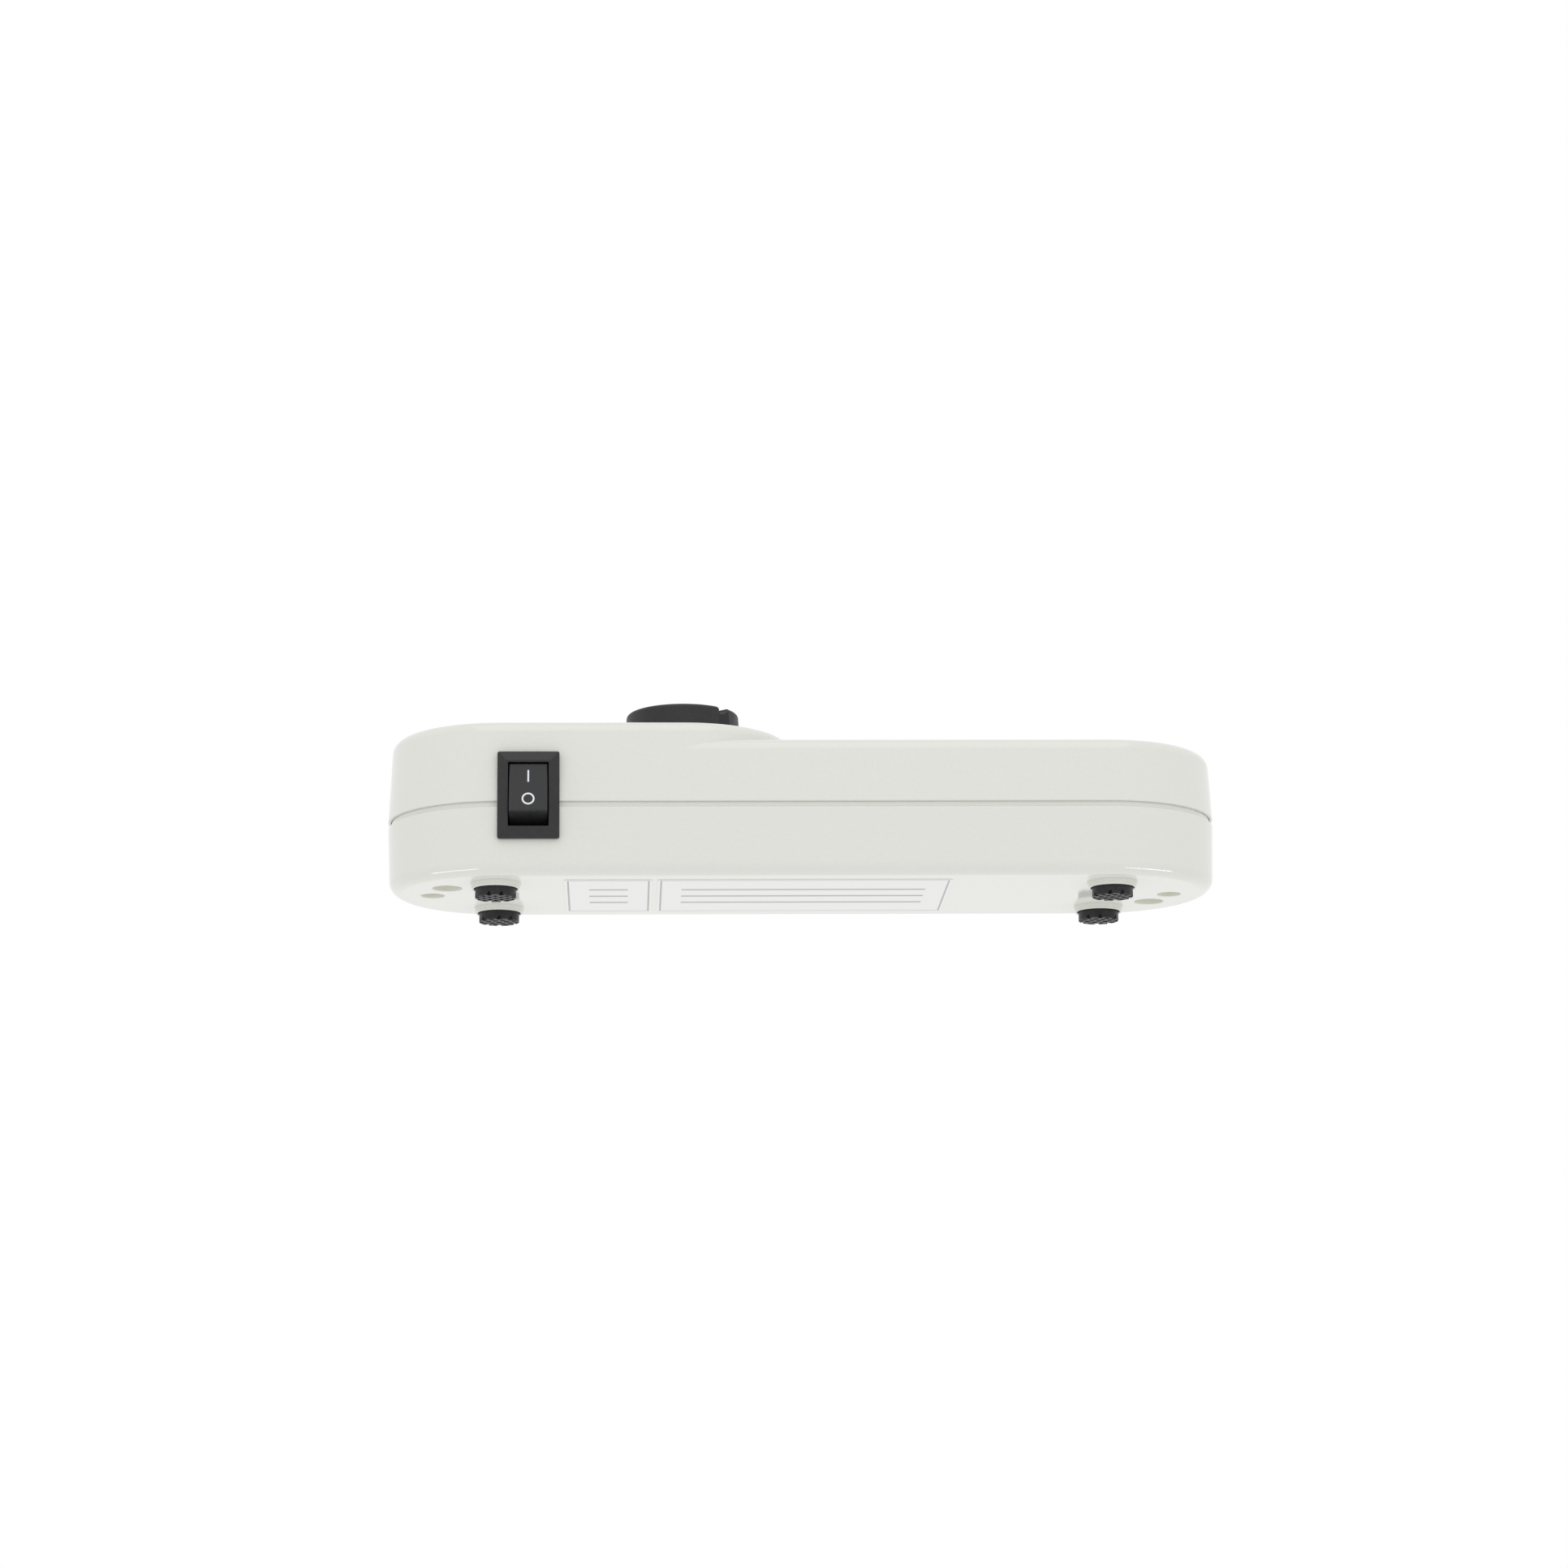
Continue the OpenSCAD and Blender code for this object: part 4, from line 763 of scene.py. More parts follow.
def end_centre(case):
    """Distance of the round ends' centres from the middle of the case."""
    return case.length / 2 - case.depth / 2


def drafted(radius, foot, top, fillet, draft, steps=12):
    """Outline of a leaning wall with a rounded upper edge, from its foot to the deck."""
    centre_z = top - fillet
    centre_r = radius - (fillet + (centre_z - foot) * math.sin(draft)) / math.cos(draft)
    return arc((centre_r, centre_z), fillet, math.degrees(draft), 90, steps)


def in_order(parts, place):
    """Sorts a mesh's vertices, edges or faces and numbers them anew."""
    rank = {part: i for i, part in enumerate(sorted(parts, key=place))}
    parts.sort(key=rank.get)
    parts.index_update()


def sort_mesh(piece):
    """Sorts the open mesh by place, because an extrusion's order changes each run and shows in later cuts."""
    mesh = bmesh.from_edit_mesh(piece.data)
    in_order(mesh.verts, lambda vert: tuple(vert.co.zyx))
    for parts in (mesh.edges, mesh.faces):
        in_order(parts, lambda part: sorted(vert.index for vert in part.verts))
    bmesh.update_edit_mesh(piece.data)


def pulled_in(piece, x, sign, share, move=(0, 0, 0)):
    """Splits a stadium at x and draws the part beyond it in, so that no two walls share a plane."""
    beyond = 0.1 * MM
    edit(piece)
    bpy.ops.mesh.bisect(plane_co=(x, 0, 0), plane_no=(1, 0, 0))
    pick_verts(piece, lambda co: (co.x - x) * sign > beyond)
    bpy.ops.transform.resize(value=(1, share, 1), center_override=(x, 0, 0))
    bpy.ops.transform.translate(value=move)
    sort_mesh(piece)
    done()
    return piece


def upper_solid(name, case, deck):
    """Full form of the upper shell under one deck."""
    radius = case.depth / 2
    lip = arc((radius - case.lip, case.upper_edge + case.lip), case.lip, -90, 0, 8)
    return turned(name, lip + drafted(radius, case.upper_edge, deck, case.top_round, case.upper_draft),
                  CASE_SIDES)


def upper_hollow(name, case, deck):
    """Hollow of the upper shell under one deck, with the tongue's rebate."""
    rebate_r = case.depth / 2 - case.groove + case.tongue_gap
    rebate_z = case.tongue + case.tongue_gap
    inner_r = case.depth / 2 - case.wall
    inner_foot = inner_r - (rebate_z - case.upper_edge) * math.tan(case.upper_draft)
    fillet = case.top_round - case.wall
    rise = drafted(inner_r, case.upper_edge, deck - case.wall, fillet, case.upper_draft, 4)
    rebate = [(rebate_r, case.upper_edge - PAST), (rebate_r, rebate_z), (inner_foot, rebate_z)]
    return turned(name, rebate + rise, CASE_SIDES)


def rear_hole(name, x, z, diameter, case):
    """Tool for a round hole through the rear wall."""
    y = case.depth / 2
    hole = turned(name, [(diameter / 2, -case.wall - 2 * PAST), (diameter / 2, PAST)])
    return put(hole, along_y((x, y, z)))


def wall_openings(case, fittings):
    """Tools for the switch's cut-out and the sockets' holes."""
    front = -case.depth / 2
    middle = (FRAME_LOW + FRAME_HIGH) / 2
    half_w, half_h = fittings.cutout_w / 2, fittings.cutout_h / 2
    tools = [block("cutout", (middle.x - half_w, front - PAST, middle.z - half_h),
                   (middle.x + half_w, front + 2 * case.wall + PAST, middle.z + half_h))]
    gap = fittings.rear_gap
    for name in SOCKETS:
        low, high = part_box(name)
        barrel_d = bpy.context.scene.amp_sockets.barrel_d
        tools.append(rear_hole("hole", (low.x + high.x) / 2, socket_height(), barrel_d + 2 * gap, case))
    tools.append(block("slot", (INLET_LOW.x - gap, -front - 2 * case.wall - PAST, INLET_LOW.z - gap),
                       (INLET_HIGH.x + gap, -front + PAST, INLET_HIGH.z + gap)))
    return tools


def socket_height():
    """Height of the coaxial sockets' axis."""
    low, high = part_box("socket_contacts")
    return (low.z + high.z) / 2


class AMP_OT_upper_shell(bpy.types.Operator):
    """Models the upper shell with its two decks"""

    bl_idname = "amp.upper_shell"
    bl_label = "Upper shell"

    def crease(self, shell, case):
        """Marks the line where the raised deck's end meets the low deck's round, to keep each one's sheen."""

        def on_end(co):
            """Tells whether a point lies on the raised end's wall, within the low deck's round."""
            wall = case.depth / 2 - (co.z - case.upper_edge) * math.tan(case.upper_draft)
            reach = math.hypot(co.x - case.raised_end, co.y)
            beside = -case.top_round - SLACK < co.z - case.low_deck < SLACK
            return beside and co.x > case.raised_end - SLACK and abs(reach - wall) < SLACK

        edit(shell, "EDGE")
        pick_edges(shell, lambda a, b: on_end(a) and on_end(b))
        bpy.ops.mesh.mark_sharp()
        done()

    def execute(self, context):
        case, fittings = context.scene.amp_case, context.scene.amp_fittings
        end, raised = end_centre(case), case.raised_end
        shell = stretched(upper_solid("upper_casing", case, case.high_deck), -end, raised)
        pulled_in(shell, raised, 1, JOIN_SHARE)
        low = stretched(upper_solid("low_form", case, case.low_deck), -end, end)
        pulled_in(low, raised, -1, HIDDEN_SHARE, (HIDDEN_MOVE, 0, HIDDEN_LIFT))
        cut(shell, low, "UNION")
        high_hollow = stretched(upper_hollow("high_hollow", case, case.high_deck), -end, raised)
        cut(shell, pulled_in(high_hollow, raised, 1, INNER_SHARE))
        low_hollow = stretched(upper_hollow("low_hollow", case, case.low_deck), -end, end)
        cut(shell, pulled_in(low_hollow, raised, -1, HIDDEN_SHARE, (HIDDEN_MOVE, 0, 0)))
        bosses, bores = [], []
        for place, seat, tip, shank_d, _ in case_fixings(context):
            deck = case.high_deck if place.x < raised else case.low_deck
            boss_r, bore_r = shank_d / 2 + fittings.tower_t, shank_d / 2 + fittings.shank_gap
            boss = turned("boss", [(boss_r, seat + fittings.seat_t), (boss_r, deck - case.wall / 2)])
            bore = turned("bore", [(bore_r, seat), (bore_r, tip + PAST)], BORE_SIDES)
            bosses.append(put(boss, Matrix.Translation(place)))
            bores.append(put(bore, Matrix.Translation(place)))
        cut(shell, joined(bosses), "UNION")
        cut(shell, joined(bores))
        tools = wall_openings(case, fittings)
        bush = [(fittings.bush_hole_d / 2, case.high_deck - case.wall - PAST),
                (fittings.bush_hole_d / 2, case.high_deck + PAST)]
        tools.append(put(turned("bush", bush), Matrix.Translation((raised, 0, 0))))
        cut(shell, joined(tools))
        self.crease(cleaned(shell), case)
        fitted(shell, "case", "upper_shell", angle=SHELL_SMOOTH)
        return {"FINISHED"}


class AMP_OT_lower_shell(bpy.types.Operator):
    """Models the lower shell with its foot collars and screw wells"""

    bl_idname = "amp.lower_shell"
    bl_label = "Lower shell"

    def outline(self, case):
        """Section from the underside's edge, up the wall, over the tongue and down to the floor inside."""
        radius, height = case.depth / 2, case.lower_edge - case.underside
        lean, fillet = case.lower_draft, case.bottom_round
        foot = [(r, case.lower_edge - z) for r, z in reversed(drafted(radius, 0, height, fillet, lean))]
        lip = arc((radius - case.lip, case.lower_edge - case.lip), case.lip, 0, 90, 8)
        groove_r, inner_r = radius - case.groove, radius - case.wall
        tongue = [(groove_r, case.lower_edge), (groove_r, case.tongue - case.lip),
                  (groove_r - case.lip, case.tongue), (inner_r, case.tongue), (inner_r, case.lower_edge)]
        inside = drafted(inner_r, 0, height - case.wall, fillet - case.wall, lean, 4)
        return foot + lip + tongue + [(r, case.lower_edge - z) for r, z in inside]

    def collar(self, case, fittings, place):
        """Collar round a foot with a stepped root."""
        rim_r, root_r = fittings.collar_d / 2, fittings.collar_d / 2 + fittings.collar_step
        rim_z, step_z = LOWER_LOW.z, case.underside - fittings.step_h
        edge = 0.1 * MM
        outline = arc((rim_r - edge, rim_z + edge), edge, -90, 0, 7) + [(rim_r, step_z)]
        outline += arc((root_r - edge, step_z + edge), edge, -90, 0, 7) + [(root_r, case.underside + PAST)]
        return put(turned("collar", outline), Matrix.Translation(place))

    def well(self, place, radius, low, high, mouth, more=()):
        """Tool for a hole from below with a chamfered mouth, and more of its outline above."""
        outline = [(radius + mouth + PAST, low - PAST), (radius + mouth, low), (radius, low + mouth),
                   (radius, high), *more]
        return put(turned("well", outline), Matrix.Translation(place))

    def paint_well_light(self, shell, context):
        """Marks the walls of the screw wells, where a paler, warmer colour is painted as light."""
        low = context.scene.amp_case.underside + SLACK
        wells = [(place.xy, well_d / 2 + SLACK, seat + SLACK)
                 for place, seat, _, _, well_d in case_fixings(context)]
        marks = shell.data.attributes.new(WELL_LIGHT_MASK, "FLOAT", "FACE")
        for face in shell.data.polygons:
            inside = any(low < face.center.z < high and (face.center.xy - spot).length < radius
                         for spot, radius, high in wells)
            marks.data[face.index].value = float(inside)

    def post(self, place, radius, low, high):
        """Round post on the floor inside."""
        return put(turned("post", [(radius, low), (radius, high)]), Matrix.Translation(place))

    def execute(self, context):
        case, fittings = context.scene.amp_case, context.scene.amp_fittings
        end, mouth = end_centre(case), fittings.mouth
        shell = stretched(turned("lower_casing", self.outline(case), CASE_SIDES), -end, end)
        feet = [centres(name)[0] for name in FEET]
        floor, board = case.underside + case.wall / 2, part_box("circuit_board")[0].z
        added = [self.collar(case, fittings, place) for place in feet]
        tools = wall_openings(case, fittings)
        recess_r, recess_top = fittings.recess_d / 2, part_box(FEET[0])[1].z
        tools += [self.well(place, recess_r, LOWER_LOW.z, recess_top, mouth) for place in feet]
        for place, seat, _, shank_d, well_d in case_fixings(context):
            top, shank_r = seat + fittings.seat_t, shank_d / 2 + fittings.shank_gap
            added.append(self.post(place, well_d / 2 + fittings.tower_t, floor, top))
            bore = [(shank_r, seat), (shank_r, top + PAST)]
            tools.append(self.well(place, well_d / 2, case.underside, seat, mouth, bore))
        for place in centres("board_screws", 2):
            added.append(self.post(place, fittings.stand_d / 2, floor, board))
            screw_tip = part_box("board_screws")[0].z
            tools.append(self.post(place, fittings.stand_bore_d / 2, screw_tip, board + PAST))
        for piece in added:
            cut(shell, piece, "UNION")
        cut(shell, joined(tools))
        self.paint_well_light(fitted(cleaned(shell), "case", "lower_shell", angle=SHELL_SMOOTH), context)
        return {"FINISHED"}


def centres(node, rows=1):
    """Middle, in plan, of each of a node's like parts: left and right of it where it has two, and in rows."""
    low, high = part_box(node)
    middle, groups = (low + high) / 2, {}
    split = high.x - low.x > 2 * (high.y - low.y) or rows > 1
    for vert in NODES[node].data.vertices:
        side = (split and vert.co.x > middle.x, rows > 1 and vert.co.y > middle.y)
        groups.setdefault(side, []).append(vert.co)
    return [Vector(((min(c.x for c in group) + max(c.x for c in group)) / 2,
                    (min(c.y for c in group) + max(c.y for c in group)) / 2, 0)) for group in groups.values()]


def screw_rows(context):
    """Node, head height, shank diameter and well diameter of the case screws and of the end screws."""
    small, fittings = context.scene.amp_small, context.scene.amp_fittings
    return (("case_screws", small.case_head_h, small.case_shank_d, fittings.case_well_d),
            ("end_screws", small.end_head_h, small.end_shank_d, fittings.end_well_d))


def case_fixings(context):
    """Place, seat height, tip height, shank diameter and well diameter of each case and end screw."""
    for node, head_h, shank_d, well_d in screw_rows(context):
        low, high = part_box(node)
        for place in centres(node):
            yield place, low.z + head_h, high.z, shank_d, well_d


# Controls

class AMP_OT_gain_knob(bpy.types.Operator):
    """Models the gain knob with its pointer scoop and side flute"""

    bl_idname = "amp.gain_knob"
    bl_label = "Gain knob"

    def execute(self, context):
        knob = context.scene.amp_knob
        radius, foot, top = knob.diameter / 2, KNOB_LOW.z, KNOB_HIGH.z
        lip = 0.25 * MM
        outline = arc((radius - lip, foot + lip), lip, -90, 0, 4)
        outline += drafted(radius, foot, top, knob.edge, knob.draft)
        dial = turned("gain_dial", outline, CASE_SIDES)
        hollow_r = knob.hollow_d / 2
        hollow = turned("hollow", [(hollow_r, foot - PAST), (hollow_r, foot + knob.hollow_h)])
        bore_r = knob.bore_d / 2
        bore = turned("bore", [(bore_r, foot - PAST), (bore_r, foot + knob.bore_h)], RING_SIDES)
        cut(dial, hollow)
        cut(dial, bore)
        scoop_end = arc((0, 0), knob.scoop_r, -85, 0, 12)
        scoop = turned("scoop", scoop_end + [(knob.scoop_r, knob.scoop_l + PAST)])
        scoop_place = (radius - knob.scoop_l, 0, top + knob.scoop_r - knob.scoop_depth)
        put(scoop, along_x(scoop_place))
        flute = turned("flute", [(knob.scoop_r, foot - PAST), (knob.scoop_r, top + PAST)])
        put(flute, Matrix.Translation((radius + knob.scoop_r - knob.flute_depth, 0, 0)))
        cut(dial, scoop)
        cut(dial, flute)
        turn = Matrix.Rotation(knob.pointer - math.radians(90), 4, "Z")
        put(dial, Matrix.Translation(Vector(JOINTS["gain_turn"]["pos_m"]) * Vector((1, 1, 0))) @ turn)
        fitted(cleaned(dial), "knob", "gain_knob", angle=38)
        return {"FINISHED"}


def rocker_matrix(switch):
    """Place of the rocker's own frame: X along the pivot, -Y out of its face."""
    return Matrix.Translation(JOINTS["switch_rock"]["pos_m"]) @ Matrix.Rotation(-switch.tilt, 4, "X")


class AMP_OT_switch_frame(bpy.types.Operator):
    """Models the switch's mitred bezel and its housing"""

    bl_idname = "amp.switch_frame"
    bl_label = "Switch frame"

    def execute(self, context):
        switch, near = context.scene.amp_switch, 0.01 * MM
        middle = (FRAME_LOW + FRAME_HIGH) / 2
        front, back = FRAME_LOW.y, FRAME_LOW.y + switch.bezel_proud
        half_w, half_h = switch.bezel_w / 2, switch.bezel_h / 2
        shell = block("switch_bezel", (middle.x - half_w, back - switch.bezel_edge, middle.z - half_h),
                      (middle.x + half_w, back, middle.z + half_h))
        rim_w, rim_h = switch.opening_w + 2 * switch.rim, switch.opening_h + 2 * switch.rim
        floor_y = FRAME_HIGH.y - switch.floor_t
        edit(shell, "FACE")
        pick_faces(shell, lambda co, normal: normal.y < -FACING)
        extrude(0, front - back + switch.bezel_edge, 0)
        bpy.ops.transform.resize(value=(rim_w / switch.bezel_w, 1, rim_h / switch.bezel_h),
                                 center_override=(middle.x, front, middle.z))
        bpy.ops.mesh.inset(thickness=switch.rim)
        extrude(0, floor_y - front, 0)
        pick_faces(shell, lambda co, normal: normal.y > FACING)
        extrude(0, 0, 0)
        narrow, low = switch.housing_w / switch.bezel_w, switch.housing_h / switch.bezel_h
        bpy.ops.transform.resize(value=(narrow, 1, low), center_override=(middle.x, back, middle.z))
        extrude(0, FRAME_HIGH.y - back, 0)
        turn_outwards()
        pick_edges(shell, lambda a, b: abs(a.y - b.y) > 10 * near
                   and min(abs(a.x - middle.x), abs(b.x - middle.x)) > half_w - near
                   and min(abs(a.z - middle.z), abs(b.z - middle.z)) > half_h - near)
        bpy.ops.mesh.bevel(offset=switch.corner, segments=4, affect="EDGES")
        done()
        rounded(shell, switch.edge, 3, 20)
        pivot = Vector(JOINTS["switch_rock"]["pos_m"])
        pivot_gap = 0.05 * MM
        hole_r = switch.trunnion_d / 2 + pivot_gap
        hole = turned("hole", [(hole_r, -switch.housing_w), (hole_r, switch.housing_w)], PIN_SIDES)
        cut(shell, put(hole, along_x(pivot)))
        fitted(shell, "case", "switch_frame", angle=25)
        return {"FINISHED"}


class AMP_OT_switch_rocker(bpy.types.Operator):
    """Models the rocker on its trunnions, with its stem behind"""

    bl_idname = "amp.switch_rocker"
    bl_label = "Switch rocker"

    def execute(self, context):
        switch = context.scene.amp_switch
        half_w, half_l = switch.rocker_w / 2, switch.rocker_reach / 2
        back, front = -switch.skirt_out, -switch.face_out
        rocker = block("switch_paddle", (-half_w, front, -half_l), (half_w, back, half_l))
        edit(rocker, "FACE")
        pick_faces(rocker, lambda co, normal: normal.y < -FACING)
        shorter = switch.rocker_face / switch.rocker_reach
        bpy.ops.transform.resize(value=(1, 1, shorter), center_override=(0, front, 0))
        done()
        rounded(rocker, switch.edge * 1.4, 4)
        hub_wall, hub_in = 1 * MM, 0.2 * MM
        hub_r = switch.trunnion_d / 2 + hub_wall
        hub = turned("hub", [(hub_r, -half_w + hub_in), (hub_r, half_w - hub_in)], PIN_SIDES)
        cut(rocker, put(hub, along_x((0, 0, 0))), "UNION")
        pin_r, span, tip = switch.trunnion_d / 2, switch.trunnion_span / 2, 0.2 * MM
        pin = turned("pin", [(pin_r - tip, -span), (pin_r, tip - span), (pin_r, span - tip),
                             (pin_r - tip, span)], PIN_SIDES)
        cut(rocker, put(pin, along_x((0, 0, 0))), "UNION")
        stem = turned("stem", [(switch.stem_d / 2, 0), (switch.stem_d / 2, switch.stem_l)], PIN_SIDES)
        cut(rocker, put(stem, along_y((0, 0, 0))), "UNION")
        spring_gap = 0.05 * MM
        bore_r, bore_end = switch.stem_bore_d / 2, context.scene.amp_spring.start - spring_gap
        bore = turned("bore", [(bore_r, bore_end), (bore_r, switch.stem_l + PAST)], PIN_SIDES)
        cut(rocker, put(bore, along_y((0, 0, 0))))
        put(rocker, rocker_matrix(switch))
        fitted(cleaned(rocker), "rocker", "switch_rocker")
        return {"FINISHED"}


class AMP_OT_rocker_marks(bpy.types.Operator):
    """Models the printed bar and ring on the rocker's face"""

    bl_idname = "amp.rocker_marks"
    bl_label = "Rocker marks"

    def execute(self, context):
        switch = context.scene.amp_switch
        face, printed = -switch.face_out, -switch.face_out - switch.print_t
        half, reach = switch.stroke / 2, switch.mark_h / 2
        bar = block("printed_marks", (-half, printed, switch.bar_up - reach),
                    (half, face, switch.bar_up + reach))
        rounded(bar, switch.stroke / 5)
        ring = turned("ring", [(reach, printed), (reach, face)], RING_SIDES)
        hole_r = reach - switch.stroke
        cut(ring, turned("hole", [(hole_r, printed - PAST), (hole_r, face + PAST)], RING_SIDES))
        put(ring, along_y((0, 0, -switch.ring_down)))
        marks = put(joined([bar, ring]), rocker_matrix(switch))
        fitted(marks, "rocker", "rocker_marks")
        return {"FINISHED"}


class AMP_OT_switch_spring(bpy.types.Operator):
    """Models the coil spring behind the switch's plunger"""

    bl_idname = "amp.switch_spring"
    bl_label = "Switch spring"

    def execute(self, context):
        spring = context.scene.amp_spring
        wire_r = spring.wire / 2
        deselect()
        bpy.ops.mesh.primitive_circle_add(vertices=12, radius=wire_r,
                                          location=(spring.coil_d / 2, spring.start + wire_r, 0))
        coil = context.object
        coil.name = "plunger_spring"
        settle()
        modifier = coil.modifiers.new("turns", "SCREW")
        modifier.axis = "Y"
        modifier.angle = math.radians(360)
        modifier.iterations = spring.turns
        modifier.screw_offset = (spring.length - spring.wire) / spring.turns
        modifier.steps = modifier.render_steps = 32
        bpy.ops.object.modifier_apply(modifier=modifier.name)
        edit(coil)
        bpy.ops.mesh.remove_doubles(threshold=0.001 * MM)
        bpy.ops.mesh.fill_holes(sides=0)
        turn_outwards()
        done()
        put(coil, rocker_matrix(context.scene.amp_switch))
        fitted(coil, "rocker", "switch_spring", angle=60)
        return {"FINISHED"}


# Small pieces

class AMP_OT_feet(bpy.types.Operator):
    """Models the four rubber feet with their diagonal ridges"""

    bl_idname = "amp.feet"
    bl_label = "Feet"

    def pits(self, small, radius):
        """Tool for the pits between a foot's ridges: tapered pyramids on a diagonal grid."""
        pitch, side = small.ridge_pitch, small.ridge_pitch - small.ridge_w
        count = 2 * math.ceil(radius / pitch) + 3
        first = -pitch * (count - 1) / 2
        near, far = first - side / 2, first + side / 2
        pit = block("pits", (near, near, -PAST), (far, far, 0))
        edit(pit, "FACE")
        pick_faces(pit, lambda co, normal: normal.z > FACING)
        extrude(0, 0, small.pit_depth)
        taper = 0.72
        bpy.ops.transform.resize(value=(taper, taper, 1), center_override=(first, first, small.pit_depth))
        done()
        activate(pit)
        for axis in range(2):
            modifier = pit.modifiers.new("row", "ARRAY")
            modifier.count = count
            modifier.use_relative_offset = False
            modifier.use_constant_offset = True
            modifier.constant_offset_displace = [pitch if i == axis else 0 for i in range(3)]
            bpy.ops.object.modifier_apply(modifier=modifier.name)
        return put(pit, Matrix.Rotation(math.radians(45), 4, "Z"))

    def execute(self, context):
        small = context.scene.amp_small
        low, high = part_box(FEET[0])
        radius, height, edge = (high.x - low.x) / 2, high.z - low.z, small.foot_edge
        outline = arc((radius - edge, edge), edge, -90, 0, 3)
        outline += arc((radius - edge, height - edge), edge, 0, 90, 3)
        pad = turned("rubber_foot", outline)
        cut(pad, self.pits(small, radius))
        ridge_edge = 0.08 * MM
        rounded(cleaned(pad), ridge_edge, 1, 40)
        turns = (0, small.foot_turn / 4, small.foot_turn, -small.foot_turn)
        for name, turn in zip(FEET, turns):
            low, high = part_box(name)
            foot = copied(pad, name.replace("foot_", "rubber_foot_"))
            place = Matrix.Translation(((low.x + high.x) / 2, (low.y + high.y) / 2, 0))
            put(foot, place @ Matrix.Rotation(turn, 4, "Z"))
            fitted(foot, "case", name, angle=40)
        bpy.data.objects.remove(pad)
        return {"FINISHED"}


class AMP_OT_labels(bpy.types.Operator):
    """Models the two blank labels on the underside"""

    bl_idname = "amp.labels"
    bl_label = "Labels"

    def execute(self, context):
        corner, upright = context.scene.amp_small.label_corner, 0.01 * MM
        for node, name in (("rating_label", "rating_sticker"), ("batch_label", "batch_sticker")):
            low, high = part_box(node)
            label = block(name, low, high)
            edit(label, "EDGE")
            pick_edges(label, lambda a, b: abs(a.z - b.z) > upright)
            bpy.ops.mesh.bevel(offset=corner, segments=6, affect="EDGES")
            done()
            fitted(label, "case", node, material=coated_paper("coated paper " + node, low, high))
        return {"FINISHED"}


class AMP_OT_screws(bpy.types.Operator):
    """Models the pan-head screws down in their wells"""

    bl_idname = "amp.screws"
    bl_label = "Screws"

    def screw(self, name, node, head_h, shank_d, slot_w):
        """One screw that points up, with a domed head and a cross slot."""
        low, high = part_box(node)
        right = [v.co.x for v in NODES[node].data.vertices if v.co.x > 0]
        head_r, length = (max(right) - min(right)) / 2, high.z - low.z
        shank_r, point_r, dome_h, steps = shank_d / 2, shank_d / 8, head_h * 0.7, 10
        crown = [(head_r * math.sin(t), dome_h * (1 - math.cos(t))) for t in
                 (math.radians(90) * i / steps for i in range(1, steps + 1))]
        tip = [(shank_r, length - 2 * shank_r), (point_r, length)]
        piece = turned(name, crown + [(head_r, head_h), (shank_r, head_h)] + tip, RING_SIDES)
        arm, slot_h = head_r * 0.62, head_h * 0.55
        for long_x, long_y in ((arm, slot_w / 2), (slot_w / 2, arm)):
            cut(piece, block("slot", (-long_x, -long_y, -PAST), (long_x, long_y, slot_h)))
        return cleaned(piece)

    def execute(self, context):
        slot_w = context.scene.amp_small.slot_w
        for node, head_h, shank_d, _ in screw_rows(context):
            piece = self.screw("pan_head_" + node, node, head_h, shank_d, slot_w)
            lift = Vector((0, 0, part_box(node)[0].z))
            copies = [copied(piece, "copy", place + lift) for place in centres(node)]
            bpy.data.objects.remove(piece)
            pair = joined(copies)
            pair.name = "pan_head_" + node
            fitted(pair, "case", node)
        return {"FINISHED"}


# Rear sockets

def flared_bore(radius, floor, mouth, edge):
    """Tool for a bore with a flared mouth."""
    return turned("bore", [(radius, floor), (radius, mouth - edge), (radius + edge, mouth),
                           (radius + edge, mouth + PAST)])


